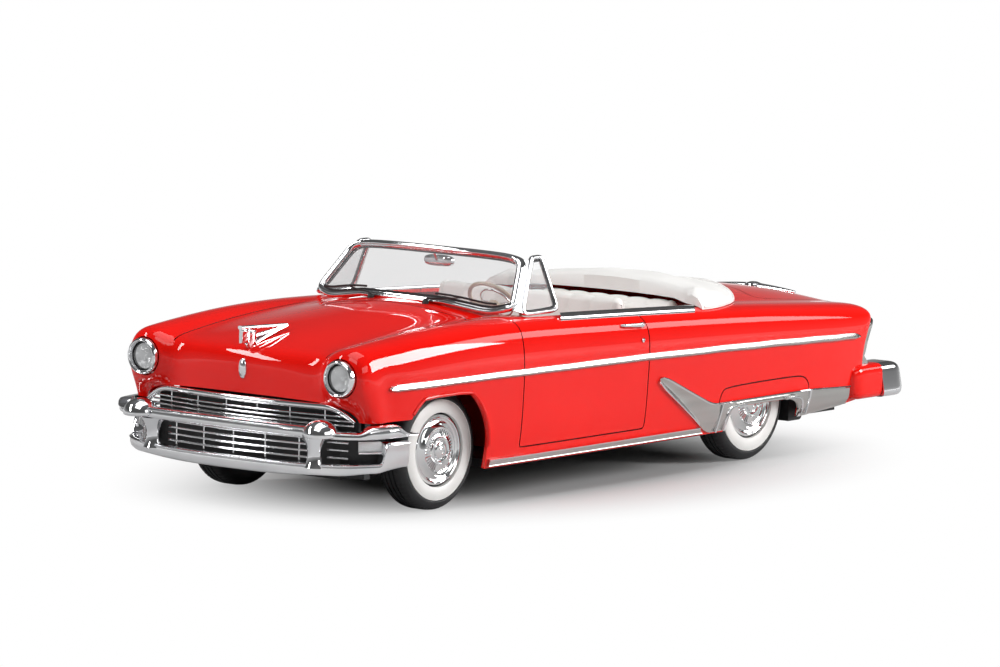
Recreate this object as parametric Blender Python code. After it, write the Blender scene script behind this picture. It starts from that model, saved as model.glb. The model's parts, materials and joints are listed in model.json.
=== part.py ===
"""A 1:43 diecast collector car: an open two-door convertible of the mid 1950s.

Sizes are in millimetres and become metres when a mesh is made. The car stands on z = 0,
its nose points along -Y and its left side is +X. The origin is under its middle.
"""

import math

import bmesh
import bpy
from mathutils import Matrix, Vector
from mathutils.bvhtree import BVHTree

MM = 0.001

# Main sizes
WHEELBASE = 72.7
FRONT_AXLE_Y = -41.72
REAR_AXLE_Y = FRONT_AXLE_Y + WHEELBASE
TRACK = 34.6
BODY_OVERHANG = 5.3
HALF_WIDTH = 0.5 * TRACK + BODY_OVERHANG
CREST_X = HALF_WIDTH - 4.0
VALLEY_X = CREST_X - 4.3
BELT_Z = 25.0
SPEAR_Z = 18.3
SILL_Z = 6.0
SILL_LIP = 0.7
TAIL_KICK = 0.056
NOSE_Y = FRONT_AXLE_Y - 19.2
TAIL_Y = REAR_AXLE_Y + 29.4
WALL = 0.8
INNER_DETAIL = 0.6
SEAT_GAP = 0.15

# Wheels and axles
TYRE_RADIUS = 8.5
TYRE_WIDTH = 4.9
WHITEWALL_RADIUS = 7.05
RIM_RADIUS = 5.05
AXLE_RADIUS = 0.8
AXLE_CLEARANCE = 0.1
AXLE_Z = TYRE_RADIUS
ARCH_RADIUS = 9.3
ARCH_LEAD = 1.6
ARCH_RISE = 8.0
SKIRT_RISE = 0.3

# Base plate
BASE_Z = 4.9
BASE_THICKNESS = 1.2
BASE_TOP = BASE_Z + BASE_THICKNESS
BASE_INSET = 2.6
BASE_NOSE = 13.0
BASE_TAIL = 4.0
BULKHEAD_HALF = HALF_WIDTH - 5.6
BULKHEAD_TOP = 16.0
VALANCE_TOP = 12.0
SADDLE_X = 0.5 * TRACK - 5.8
SADDLE_WIDTH = 2.4
SADDLE_RADIUS = 1.9
POST_RADIUS = 2.2
SCREW_RADIUS = 0.85
SCREW_HEAD = 1.6
SCREW_LENGTH = 5.8
FRONT_POST_Y = FRONT_AXLE_Y - 9.0
REAR_POST_Y = REAR_AXLE_Y + 19.0

# Glass house
COWL_Y = FRONT_AXLE_Y + 15.2
COWL_CORNER_Y = COWL_Y + 3.0
COWL_HALF = HALF_WIDTH - 4.6
HEADER_Y = COWL_Y + 6.6
HEADER_CORNER_Y = COWL_Y + 8.4
HEADER_HALF = COWL_HALF - 2.7
HEADER_Z = BELT_Z + 8.6
FRAME_BAR = 1.0
PILLAR_DEPTH = 1.8
GLASS_THICKNESS = 0.4
WIPER_RADIUS = 0.2

# Cabin
COCKPIT_HALF = HALF_WIDTH - 3.4
COCKPIT_FRONT_Y = COWL_Y + 4.2
COCKPIT_REAR_Y = REAR_AXLE_Y + 8.6
BOOT_LAP = 4.2
BOOT_HEM_Z = BELT_Z - 0.65
TUB_HALF = COCKPIT_HALF - 0.5
TUB_REAR_HALF = 0.5 * (TRACK - TYRE_WIDTH) - 1.25
SHELF_Z = AXLE_Z + TYRE_RADIUS + 0.9
SHELF_TOP = BELT_Z - 3.4
TUB_FRONT_Y = COCKPIT_FRONT_Y + 0.6
TUB_REAR_Y = REAR_AXLE_Y - 4.2
TUB_STEP_Y = REAR_AXLE_Y - TYRE_RADIUS - 2.6
TUB_TOP = BELT_Z - 2.0
TUB_WALL = 0.8
WHEEL_X = 8.8
WHEEL_RIM = 4.2
WHEEL_TILT = math.radians(40)
CUSHION_Z = 16.2
FRONT_SEAT_Y = COCKPIT_FRONT_Y + 13.4
REAR_SEAT_Y = TUB_REAR_Y - 15.6

# Lamps
HEADLAMP_X = HALF_WIDTH - 4.7
HEADLAMP_Z = 20.0
HEADLAMP_RADIUS = 2.6

# Trim
TRIM_THICKNESS = 0.45
HANDLE_LENGTH = 5.2
HANDLE_BACK = 25.2
HANDLE_DROP = 2.1
BUMPER_Y = NOSE_Y - 3.0
BUMPER_Z = 12.6
BUMPER_RISE = 0.8
WING_TOP = 13.7
PAN_Z = 8.1
GUARD_X = HALF_WIDTH - 6.2
GRILLE_HALF = HALF_WIDTH - 3.8
GRILLE_SWEEP = 2.4
REAR_BAR_HALF = HALF_WIDTH - 4.2
TRIM_LOW = SILL_Z - SILL_LIP + 0.15
BAND_TOP = SILL_Z + 3.95
DAGGER_TIP_Y = REAR_AXLE_Y - 25.6
DAGGER_TIP_Z = BAND_TOP + 4.7
DAGGER_FOOT_Y = REAR_AXLE_Y - ARCH_RADIUS - 4.4

# Body stations: distance from the axle, then how far the centre line, the hood valley and the fender crest
# stand above the belt, how far the side is drawn in, the rise of the spear and the rearward lean of the side.
FRONT_STATIONS = (
    (-17.0, -1.9, -2.3, -0.8, 0.8, 0.1, 3.6),
    (-12.5, -0.9, -1.8, -0.4, 0.3, 0.1, 2.0),
    (-7.0, 0.0, -1.1, 0.1, 0.1, 0.1, 0.6),
    (0.0, 0.8, -0.5, 0.6, 0.0, 0.1, 0.0),
    (8.0, 1.6, 0.0, 0.8, 0.0, 0.1, 0.0),
    (16.0, 2.1, 0.3, 0.7, 0.0, 0.0, 0.0),
    (27.0, 2.2, 0.4, 0.3, 0.0, -0.1, 0.0),
    (41.0, 1.7, 0.1, -0.3, 0.0, -0.2, 0.0),
)
REAR_STATIONS = (
    (-14.0, 0.8, -0.8, -1.1, 0.0, -0.5, 0.0),
    (0.0, -0.1, -1.5, -1.9, 0.0, -0.8, 0.0),
    (10.0, -0.7, -2.2, -2.6, 0.1, -1.1, 0.0),
    (18.5, -1.5, -3.0, -3.2, 0.3, -1.4, -0.2),
    (25.0, -2.4, -3.7, -3.7, 0.6, -1.6, -1.8),
    (28.0, -3.2, -4.2, -4.1, 0.8, -1.7, -3.0),
)
SIDE_LEAN = (0.0, 0.0, 0.0, 0.0, 0.0, 0.15, 0.4, 0.7, 1.0, 1.0, 1.0)

# Nose and tail rows: drawn in from the station columns, back from the nose or tail, and height over the sill.
NOSE_LIP = (
    (0.0, 0.2, 10.4), (0.0, 0.3, 10.4), (0.9, 0.9, 10.2), (0.3, 1.1, 10.0),
    (1.2, 1.4, 9.5), (2.8, 1.8, 8.9), (3.1, 2.1, 8.0), (3.1, 2.3, 6.8),
    (2.9, 2.4, 5.2), (2.7, 2.5, 3.0), (1.9, 2.6, 0.6),
)
NOSE_LOW = (
    (0.0, 0.0, 13.4), (0.0, 0.2, 13.3), (0.9, 1.1, 12.9), (1.4, -0.4, 11.8),
    (0.7, -1.0, 10.6), (0.6, -0.3, 11.6), (1.2, 0.7, 10.4), (1.3, 1.6, 8.8),
    (1.1, 2.3, 6.8), (0.9, 2.6, 3.3), (0.5, 2.8, 0.6),
)
NOSE_HIGH = (
    (0.0, 0.1, 16.4), (0.0, 0.3, 16.3), (0.7, 1.4, 15.6), (1.4, -0.4, 16.6),
    (0.7, -1.1, 18.2), (0.4, -0.3, 16.7), (0.6, 1.2, 14.4), (0.6, 2.8, 12.0),
    (0.4, 3.9, 8.4), (0.3, 4.4, 3.4), (0.1, 4.6, 0.4),
)
TAIL_HIGH = (
    (0.0, 0.5, 14.8), (0.0, 0.4, 14.5), (0.0, 0.1, 13.9), (-0.3, 0.3, 13.9),
    (0.0, 0.4, 14.1), (0.6, -0.3, 13.6), (1.1, -1.3, 12.4), (1.1, -2.5, 10.4),
    (0.9, -3.5, 7.6), (0.9, -2.8, 4.0), (0.6, -3.2, 1.0),
)
TAIL_LOW = (
    (0.0, 0.1, 11.5), (0.0, 0.0, 11.3), (0.0, -0.6, 11.0), (-0.5, -0.6, 11.0),
    (0.4, -0.8, 10.8), (1.8, -1.2, 10.4), (2.4, -1.9, 9.6), (2.6, -2.5, 8.4),
    (2.6, -3.2, 6.6), (2.6, -2.4, 3.6), (2.2, -2.2, 1.1),
)
TAIL_LIP = (
    (0.0, -0.6, 6.4), (0.0, -0.8, 6.4), (0.3, -1.6, 6.4), (0.3, -2.0, 6.3),
    (1.7, -2.3, 6.2), (3.9, -2.5, 5.9), (4.5, -2.6, 5.2), (4.6, -2.6, 4.3),
    (4.4, -2.6, 3.4), (4.3, -2.2, 2.2), (3.7, -1.8, 1.1),
)


def reset_scene():
    for thing in list(bpy.data.objects):
        bpy.data.objects.remove(thing)


def make_material(name, colour, roughness, metallic=0.0, alpha=1.0):
    material = bpy.data.materials.new(name)
    material.use_nodes = True
    shader = material.node_tree.nodes["Principled BSDF"]
    shader.inputs["Base Color"].default_value = (*colour, 1.0)
    shader.inputs["Roughness"].default_value = roughness
    shader.inputs["Metallic"].default_value = metallic
    shader.inputs["Alpha"].default_value = alpha
    return material


def make_object(name, bm, material, parent=None, smooth=True):
    """Turns a millimetre bmesh into a named object with its own copy of a material."""
    bm.transform(Matrix.Scale(MM, 4))
    bmesh.ops.recalc_face_normals(bm, faces=bm.faces)
    mesh = bpy.data.meshes.new(name)
    bm.to_mesh(mesh)
    bm.free()
    if smooth:
        mesh.shade_smooth()
        mesh.set_sharp_from_angle(angle=math.radians(35))
    finish = material.copy()
    finish.name = name + "_finish"
    mesh.materials.append(finish)
    thing = bpy.data.objects.new(name, mesh)
    bpy.context.scene.collection.objects.link(thing)
    thing.parent = parent
    return thing


def make_guide(name, bm):
    """A helper solid for a Boolean, kept out of the part."""
    bm.transform(Matrix.Scale(MM, 4))
    bmesh.ops.recalc_face_normals(bm, faces=bm.faces)
    mesh = bpy.data.meshes.new(name)
    bm.to_mesh(mesh)
    bm.free()
    guide = bpy.data.objects.new(name, mesh)
    guide.hide_render = True
    guide.display_type = "WIRE"
    bpy.context.scene.collection.objects.link(guide)
    return guide


def combine(target, guide, operation):
    modifier = target.modifiers.new(guide.name, "BOOLEAN")
    modifier.object = guide
    modifier.operation = operation
    modifier.solver = "EXACT"


def bevel(target, width, segments=2, angle=30):
    modifier = target.modifiers.new("bevel", "BEVEL")
    modifier.width = width * MM
    modifier.segments = segments
    modifier.limit_method = "ANGLE"
    modifier.angle_limit = math.radians(angle)


def loft(rings, loop=False):
    """Skins closed rings of points; the ends are capped unless the rings themselves form a loop."""
    bm = bmesh.new()
    rows = [[bm.verts.new(point) for point in ring] for ring in rings]
    pairs = list(zip(rows, rows[1:]))
    if loop:
        pairs.append((rows[-1], rows[0]))
    count = len(rows[0])
    for row, following in pairs:
        for i in range(count):
            k = (i + 1) % count
            bm.faces.new((row[i], row[k], following[k], following[i]))
    if not loop:
        bm.faces.new(list(reversed(rows[0])))
        bm.faces.new(rows[-1])
    bmesh.ops.recalc_face_normals(bm, faces=bm.faces)
    return bm


def revolve(profile, steps, axis=(1, 0, 0), centre=(0, 0, 0)):
    """Turns a profile of (radius, offset) pairs about an axis; one that starts off the axis makes a ring."""
    axis = Vector(axis)
    side = Vector((1, 0, 0)) if axis.z else Vector((0, 0, -1))
    bm = bmesh.new()
    verts = [bm.verts.new(axis * offset + side * radius) for radius, offset in profile]
    edges = [bm.edges.new(pair) for pair in zip(verts, verts[1:])]
    if profile[0][0] > 0.0:
        edges.append(bm.edges.new((verts[-1], verts[0])))
    bmesh.ops.spin(bm, geom=verts + edges, axis=axis, cent=(0, 0, 0), steps=steps, angle=2 * math.pi)
    bmesh.ops.remove_doubles(bm, verts=bm.verts, dist=0.0001)
    bm.transform(Matrix.Translation(centre))
    bmesh.ops.recalc_face_normals(bm, faces=bm.faces)
    return bm


def prism(outline, axis, low, high):
    """Extrudes a closed outline along X, Y or Z between two heights."""
    places = {"X": lambda a, b, h: (h, a, b), "Y": lambda a, b, h: (a, h, b), "Z": lambda a, b, h: (a, b, h)}
    place = places[axis]
    return loft([[place(a, b, low) for a, b in outline], [place(a, b, high) for a, b in outline]])


def box(low, high):
    outline = ((low[0], low[1]), (high[0], low[1]), (high[0], high[1]), (low[0], high[1]))
    return prism(outline, "Z", low[2], high[2])


def merge(*parts):
    """Puts several closed meshes into one bmesh, still as separate bodies."""
    whole = bmesh.new()
    for part in parts:
        mesh = bpy.data.meshes.new("piece")
        part.to_mesh(mesh)
        part.free()
        whole.from_mesh(mesh)
        bpy.data.meshes.remove(mesh)
    return whole


def arc(centre, radius, start, end, steps):
    """Points on an arc, with angles in degrees."""
    angles = [math.radians(start + (end - start) * i / steps) for i in range(steps + 1)]
    return [(centre[0] + radius * math.cos(a), centre[1] + radius * math.sin(a)) for a in angles]


def blend(stops, where):
    """Reads a value from (place, value) stops with eased steps between them."""
    if where <= stops[0][0]:
        return stops[0][1]
    for (a, low), (b, high) in zip(stops, stops[1:]):
        if where <= b:
            t = (where - a) / (b - a)
            return low + (high - low) * t * t * (3 - 2 * t)
    return stops[-1][1]


def columns(side):
    """Across places of a body row, from the centre line over the fender crest to the sill."""
    over = (0.0, 0.5 * VALLEY_X, VALLEY_X, CREST_X - 2.7, CREST_X)
    return over + (side - 1.0, side - 0.1, side + 0.1, side - 0.1, side - 0.3, side - 1.1)


def end_row(row, end):
    places = zip(columns(HALF_WIDTH), row)
    return [(x - drawn, end + back, SILL_Z + rise) for x, (drawn, back, rise) in places]


def section(axle, offset, centre, valley, crest, inset, spear, lean):
    middle, low, top = BELT_Z + centre, BELT_Z + valley, BELT_Z + crest
    line = SPEAR_Z + spear
    sill = SILL_Z - SILL_LIP + TAIL_KICK * max(0.0, axle + offset - REAR_AXLE_Y)
    heights = (
        middle, middle - 0.22 * (middle - low), low, 0.25 * low + 0.75 * top, top + 0.1, top - 0.6,
        0.5 * (top + line) + 0.3, line, 0.5 * (line + SILL_Z) + 1.5, SILL_Z + 3.2, sill,
    )
    places = zip(columns(HALF_WIDTH - inset), heights, SIDE_LEAN)
    return [(x, axle + offset + lean * share, z) for x, z, share in places]


def body_rows():
    """Rows of points along the left half, each from the centre line over the fender and down to the sill."""
    rows = [end_row(row, NOSE_Y) for row in (NOSE_LIP, NOSE_LOW, NOSE_HIGH)]
    rows += [section(FRONT_AXLE_Y, *station) for station in FRONT_STATIONS]
    rows += [section(REAR_AXLE_Y, *station) for station in REAR_STATIONS]
    return rows + [end_row(row, TAIL_Y) for row in (TAIL_HIGH, TAIL_LOW, TAIL_LIP)]


def body_skin():
    """The outer skin as an open cage with Mirror and Subdivision Surface on it."""
    bm = bmesh.new()
    rows = [[bm.verts.new(point) for point in row] for row in body_rows()]
    for row, following in zip(rows, rows[1:]):
        for i in range(len(row) - 1):
            bm.faces.new((row[i], row[i + 1], following[i + 1], following[i]))
    bm.transform(Matrix.Scale(MM, 4))
    mesh = bpy.data.meshes.new("body_shell")
    bm.to_mesh(mesh)
    bm.free()
    mesh.shade_smooth()
    shell = bpy.data.objects.new("body_shell", mesh)
    bpy.context.scene.collection.objects.link(shell)
    mirror = shell.modifiers.new("mirror", "MIRROR")
    mirror.merge_threshold = 0.0001
    smooth = shell.modifiers.new("smooth", "SUBSURF")
    smooth.levels = 1
    smooth.render_levels = 1
    return shell


class Skin:
    """Finds where a line of sight meets the outer skin, in millimetres."""

    def __init__(self, shell):
        graph = bpy.context.evaluated_depsgraph_get()
        mesh = shell.evaluated_get(graph).to_mesh()
        points = [vertex.co / MM for vertex in mesh.vertices]
        self.tree = BVHTree.FromPolygons(points, [list(face.vertices) for face in mesh.polygons])

    def side(self, y, z):
        return self.tree.ray_cast(Vector((60, y, z)), Vector((-1, 0, 0)))[0].x

    def top(self, x, y):
        return self.tree.ray_cast(Vector((x, y, 80)), Vector((0, 0, -1)))[0].z

    def rear(self, x, z):
        return self.tree.ray_cast(Vector((x, 120, z)), Vector((0, -1, 0)))[0].y


def arch_outline(y, rise):
    """A wheel opening: an arch over the axle with its crown cut flat, open at the bottom."""
    points = [(a, b) for a, b in arc((y, AXLE_Z), ARCH_RADIUS, 0, 180, 20) if b < AXLE_Z + rise]
    half = math.sqrt(ARCH_RADIUS ** 2 - rise ** 2)
    ahead = [point for point in points if point[0] > y]
    behind = [point for point in points if point[0] < y]
    crown = [(y + half, AXLE_Z + rise), (y - half, AXLE_Z + rise)]
    return [(y + ARCH_RADIUS, -1.0)] + ahead + crown + behind + [(y - ARCH_RADIUS, -1.0)]


def bumper_room():
    """What is left out of the fender behind the wrapped ends of the front bumper, from the side."""
    lip = BUMPER_Z + BUMPER_RISE + SEAT_GAP
    wing = WING_TOP + SEAT_GAP
    front, rear = BUMPER_Y - 4.0, FRONT_AXLE_Y - ARCH_LEAD
    return [(front, 0.0), (rear, 0.0), (rear, wing), (NOSE_Y + 1.9, wing), (NOSE_Y + 0.9, lip), (front, lip)]


def cabin_curve(along, half, start, end):
    """The bow of the cabin's rear edge in plan, from the left side at 0 round to the right side at 1."""
    turn = math.pi * along
    return Vector((half * math.cos(turn), start + (end - start) * max(0.0, math.sin(turn)) ** 1.5))


def cockpit_outline():
    rear = [cabin_curve(i / 12, COCKPIT_HALF, REAR_AXLE_Y - 12.0, COCKPIT_REAR_Y) for i in range(13)]
    return [(-COCKPIT_HALF, COCKPIT_FRONT_Y), (COCKPIT_HALF, COCKPIT_FRONT_Y)] + [(p.x, p.y) for p in rear]


reset_scene()
body = body_skin()
skin = Skin(body)

RED = make_material("red_enamel", (0.72, 0.02, 0.012), 0.12)
CHROME = make_material("chrome_plate", (0.8, 0.8, 0.82), 0.08, metallic=1.0)
SATIN = make_material("satin_foil", (0.62, 0.62, 0.64), 0.3, metallic=1.0)
STEEL = make_material("axle_steel", (0.5, 0.5, 0.5), 0.35, metallic=1.0)
BLACK = make_material("black_plastic", (0.02, 0.02, 0.022), 0.5)
RUBBER = make_material("tyre_rubber", (0.018, 0.018, 0.02), 0.7)
WHITE = make_material("white_plastic", (0.8, 0.79, 0.76), 0.4)
CREAM = make_material("cream_plastic", (0.78, 0.68, 0.55), 0.35)
CLEAR = make_material("clear_plastic", (0.9, 0.92, 0.92), 0.05, alpha=0.25)
RED_CLEAR = make_material("red_lens", (0.6, 0.01, 0.01), 0.1)


def finish_body(shell):
    """Thickens the skin, cuts its openings and adds the rear pods and the screw posts."""
    shell.data.materials.append(RED)
    shell_wall = shell.modifiers.new("wall", "SOLIDIFY")
    shell_wall.thickness = WALL * MM
    shell_wall.offset = -1.0
    inner = shell.vertex_groups.new(name="inner_wall")
    shell_wall.shell_vertex_group = inner.name
    lighten = shell.modifiers.new("lighten", "DECIMATE")
    lighten.vertex_group = inner.name
    lighten.vertex_group_factor = 1.0
    lighten.ratio = INNER_DETAIL
    combine(shell, make_guide("pod_guide", merge(*[pod(side) for side in (-1, 1)])), "UNION")
    reach = HALF_WIDTH + 4
    front = prism(arch_outline(FRONT_AXLE_Y - ARCH_LEAD, ARCH_RISE), "X", -reach, reach)
    rear = prism(arch_outline(REAR_AXLE_Y, SKIRT_RISE), "X", -reach, reach)
    combine(shell, make_guide("arch_guide", merge(front, rear)), "DIFFERENCE")
    combine(shell, make_guide("bumper_room_guide", prism(bumper_room(), "X", -reach, reach)), "DIFFERENCE")
    opening = prism(cockpit_outline(), "Z", SILL_Z + 10, BELT_Z + 20)
    combine(shell, make_guide("cockpit_guide", opening), "DIFFERENCE")
    bore = ((0.0, -6.0), (HEADLAMP_RADIUS + SEAT_GAP, -6.0), (HEADLAMP_RADIUS + SEAT_GAP, 3.0), (0.0, 3.0))
    bores = [revolve(bore, 18, (0, 1, 0), (side * HEADLAMP_X, NOSE_Y, HEADLAMP_Z)) for side in (-1, 1)]
    combine(shell, make_guide("headlamp_guide", merge(*bores)), "DIFFERENCE")
    posts = []
    for y in (FRONT_POST_Y, REAR_POST_Y):
        height = skin.top(0.0, y) - 0.5 * WALL
        hole = BASE_Z + SCREW_LENGTH + 0.4
        outer, inner = POST_RADIUS, SCREW_RADIUS + SEAT_GAP
        profile = (
            (0.0, hole), (inner, hole), (inner, BASE_TOP + SEAT_GAP), (outer, BASE_TOP + SEAT_GAP),
            (outer, height), (0.0, height),
        )
        posts.append(revolve(profile, 12, (0, 0, 1), (0, y, 0)))
    combine(shell, make_guide("post_guide", merge(*posts)), "UNION")


def pod(side):
    """The rounded pod that carries the end of the rear bumper."""
    front, rear = REAR_AXLE_Y + 22.2, TAIL_Y - 0.3
    rings = []
    for y, shrink in ((front, 1.1), (front + 0.6, 0.35), (front + 2.0, 0.0), (rear, 0.0)):
        low, high = SILL_Z + 1.0 + shrink, SILL_Z + 6.2 - shrink
        inner, outer = HALF_WIDTH - 5.0, HALF_WIDTH + 0.1 - shrink
        rings.append([
            (side * inner, y, low), (side * (outer - 0.8), y, low), (side * outer, y, low + 0.9),
            (side * outer, y, high - 0.9), (side * (outer - 0.8), y, high), (side * inner, y, high),
        ])
    return loft(rings)


def tube(path, radius, sides=8, loop=False, up=(0, 0, 1)):
    """A round bar along a path of points."""
    points = [Vector(point) for point in path]
    last = len(points) - 1
    rings = []
    for i, point in enumerate(points):
        before = points[i - 1] if i > 0 or loop else point
        after = points[(i + 1) % len(points)] if i < last or loop else point
        along = (after - before).normalized()
        across = along.cross(Vector(up)).normalized()
        over = across.cross(along)
        angles = [2 * math.pi * k / sides for k in range(sides)]
        rings.append([point + radius * (across * math.cos(a) + over * math.sin(a)) for a in angles])
    return loft(rings, loop)


def side_plate(name, upper, lower, material, side, thickness=TRIM_THICKNESS):
    """A crowned strip laid on the body side between two edges given as (y, z) points."""
    rings = []
    for (yu, zu), (yl, zl) in zip(upper, lower):
        ym, zm = 0.5 * (yu + yl), 0.5 * (zu + zl)
        xu, xm, xl = (skin.side(y, z) + SEAT_GAP for y, z in ((yu, zu), (ym, zm), (yl, zl)))
        base = max(xm, 0.5 * (xu + xl))
        ring = (
            (xl, yl, zl), (xl + 0.6 * thickness, yl, zl), (base + thickness, ym, zm),
            (xu + 0.6 * thickness, yu, zu), (xu, yu, zu), (base, ym, zm),
        )
        rings.append([(side * x, y, z) for x, y, z in ring])
    return make_object(name, loft(rings), material)


def spear_line(y):
    stops = [(FRONT_AXLE_Y + station[0], station[5]) for station in FRONT_STATIONS]
    stops += [(REAR_AXLE_Y + station[0], station[5]) for station in REAR_STATIONS]
    return SPEAR_Z + blend(stops, y)


def make_spear(name, side):
    """The long bright strip down the side, with blunt ends."""
    front, rear = NOSE_Y + 6.2, TAIL_Y - 4.2
    count = 20
    places = [front + (rear - front) * i / count for i in range(count + 1)] + [front + 1.2, rear - 0.8]
    upper, lower = [], []
    for y in sorted(places):
        half = blend(((front, 0.25), (front + 2.5, 0.55), (rear - 0.8, 0.5), (rear, 0.2)), y)
        upper.append((y, spear_line(y) + half))
        lower.append((y, spear_line(y) - half))
    return side_plate(name, upper, lower, SATIN, side)


def make_rocker(name, side):
    """The sill strip from the front wheel opening to the slanting edge of the dagger."""
    front, rear = FRONT_AXLE_Y - ARCH_LEAD + ARCH_RADIUS + 0.6, DAGGER_FOOT_Y - 0.9
    top, slant = SILL_Z + 0.65, 1.4
    count = 10
    upper = [(front + (rear - slant - front) * i / count, top) for i in range(count + 1)]
    lower = [(front + (rear - front) * i / count, TRIM_LOW) for i in range(count + 1)]
    return side_plate(name, upper, lower, SATIN, side)


def make_quarter_trim(name, side):
    """The slanting dagger behind the door, the band over the wheel and the panel that runs on to the pod."""
    tip_y, tip_z, foot = DAGGER_TIP_Y, DAGGER_TIP_Z, DAGGER_FOOT_Y
    opening, closing = REAR_AXLE_Y - ARCH_RADIUS, REAR_AXLE_Y + ARCH_RADIUS
    rear = REAR_AXLE_Y + 21.8
    upper = [(tip_y + 0.7, tip_z + 0.3), (tip_y + 2.0, tip_z + 0.1)]
    lower = [(tip_y, tip_z - 0.4), (tip_y + 0.9, tip_z - 1.5)]
    run, drop, fall = foot - tip_y, tip_z - BAND_TOP, tip_z - 1.5 - TRIM_LOW
    for share in (0.4, 0.7, 1.0):
        upper.append((tip_y + 2.0 + (run - 1.6) * share, tip_z - drop * share))
        lower.append((tip_y + 0.9 + (run - 0.9) * share, tip_z - 1.5 - fall * share))
    upper += [(opening - 1.2, BAND_TOP), (opening + 0.6, BAND_TOP), (opening + 1.8, BAND_TOP)]
    lower += [(opening - 2.2, TRIM_LOW), (opening - 0.5, TRIM_LOW), (opening + 1.1, BAND_TOP - 0.9)]
    for share in (0.33, 0.67, 1.0):
        y = opening + 1.8 + (closing - opening - 5.0) * share
        upper.append((y, BAND_TOP))
        lower.append((y, BAND_TOP - 0.9 - 0.2 * share))
    upper += [(closing - 2.0, BAND_TOP), (closing - 0.8, BAND_TOP), (closing + 0.6, BAND_TOP)]
    lower += [(closing - 1.4, SILL_Z + 2.0), (closing - 0.8, SILL_Z + 0.8), (closing - 1.8, SILL_Z - 0.1)]
    upper += [(closing + 2.4, BAND_TOP), (rear, BAND_TOP - 0.5)]
    lower += [(closing + 2.0, SILL_Z + 0.15), (rear, SILL_Z + 0.8)]
    return side_plate(name, upper, lower, SATIN, side)


def make_belt_moulding(name, side):
    """The bright capping that rolls over the door top from the vent to the boot, its ends cut on the slant."""
    front, rear = HEADER_CORNER_Y + 3.2, REAR_AXLE_Y - 14.4
    inner, middle, outer = COCKPIT_HALF + 0.25, COCKPIT_HALF + 1.0, COCKPIT_HALF + 1.65
    height = 0.42
    count = 12
    rings = []
    for i in range(count + 1):
        y = front + (rear - front) * i / count
        under = []
        for x in (inner, middle, outer):
            back = y - (x - inner)
            under.append((x, back, skin.top(x, back) + SEAT_GAP))
        over = [(x, back, low + height) for x, back, low in under[1::-1]]
        edge = (outer + 0.15, under[2][1], under[2][2] + 0.5 * height)
        rings.append([(side * x, back, z) for x, back, z in under + [edge] + over])
    return make_object(name, loft(rings), CHROME)


def make_door_handle(name, side):
    """A pull bar that swells towards its push button at the rear."""
    y, z, half = COWL_Y + HANDLE_BACK, BELT_Z - HANDLE_DROP, 0.5 * HANDLE_LENGTH
    foot = SEAT_GAP + max(skin.side(y + a, z + b) for a in (-half, half) for b in (-0.4, 0.4))
    rings = []
    stops = ((-1.0, 0.25, 0.2), (-0.8, 0.5, 0.3), (0.45, 0.55, 0.33), (0.65, 0.45, 0.42), (1.0, 0.3, 0.3))
    for share, rise, tall in stops:
        ring = ((foot, -tall), (foot + rise, -tall), (foot + rise, tall), (foot, tall))
        rings.append([(side * x, y + share * half, z + b - 0.15 * share) for x, b in ring])
    return make_object(name, loft(rings), CHROME)


def windshield_point(across, up):
    """A place on the curved glass, with across from -1 to 1 and up from 0 at the cowl to 1 at the header."""
    bow = across * across
    low_x = across * COWL_HALF
    low_y = COWL_Y + (COWL_CORNER_Y - COWL_Y) * bow
    low = Vector((low_x, low_y, skin.top(abs(low_x), low_y) + SEAT_GAP + 0.5 * FRAME_BAR))
    high = Vector((across * HEADER_HALF, HEADER_Y + (HEADER_CORNER_Y - HEADER_Y) * bow, HEADER_Z - 0.4 * bow))
    return low.lerp(high, up)


def make_windshield():
    steps = 8
    places = [(-1 + 2 * i / steps, 0.0) for i in range(steps + 1)]
    places += [(1.0, i / 4) for i in range(1, 4)]
    places += [(1 - 2 * i / steps, 1.0) for i in range(steps + 1)]
    places += [(-1.0, 1 - i / 4) for i in range(1, 4)]
    rings = []
    for across, up in places:
        point = windshield_point(across, up)
        inward = Vector((0, 0, 1 - 2 * up)) if up in (0.0, 1.0) else Vector()
        if abs(across) == 1.0:
            inward.x = -across
        half = 0.5 * FRAME_BAR
        deep = 0.5 * (PILLAR_DEPTH if abs(across) == 1.0 else FRAME_BAR)
        ring = ((-half, -deep), (half, -deep), (half, deep), (-half, deep))
        rings.append([point + inward * a + Vector((0, b, 0)) for a, b in ring])
    frame = make_object("windshield_frame", loft(rings, loop=True), CHROME)
    bevel(frame, 0.2, 1)
    side = 1 - (0.5 * FRAME_BAR + SEAT_GAP) / COWL_HALF * 1.25
    edge = (0.5 * FRAME_BAR + SEAT_GAP) / (HEADER_Z - BELT_Z) * 1.6
    half = Vector((0, 0.5 * GLASS_THICKNESS, 0))
    columns = []
    for i in range(steps + 1):
        across = side * (-1 + 2 * i / steps)
        heights = [edge + (1 - 2 * edge) * k / 3 for k in range(4)]
        front = [windshield_point(across, up) - half for up in heights]
        rear = [windshield_point(across, up) + half for up in reversed(heights)]
        columns.append(front + rear)
    make_object("windshield_glass", loft(columns), CLEAR)


def vent_corners(side):
    """Front foot, rear foot, rear top and front top of the quarter vent."""
    foot_x, head_x = COWL_HALF + 0.9, HEADER_HALF + 0.5
    foot = skin.top(foot_x, COWL_CORNER_Y + 5.0) + SEAT_GAP + 0.35
    top = HEADER_Z - 0.9
    pillar = 0.5 * PILLAR_DEPTH + 0.55
    return [
        Vector((side * foot_x, COWL_CORNER_Y + pillar, foot)),
        Vector((side * foot_x, HEADER_CORNER_Y + 3.8, foot)),
        Vector((side * head_x, HEADER_CORNER_Y + 3.2, top)),
        Vector((side * head_x, HEADER_CORNER_Y + pillar, top)),
    ]


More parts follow.
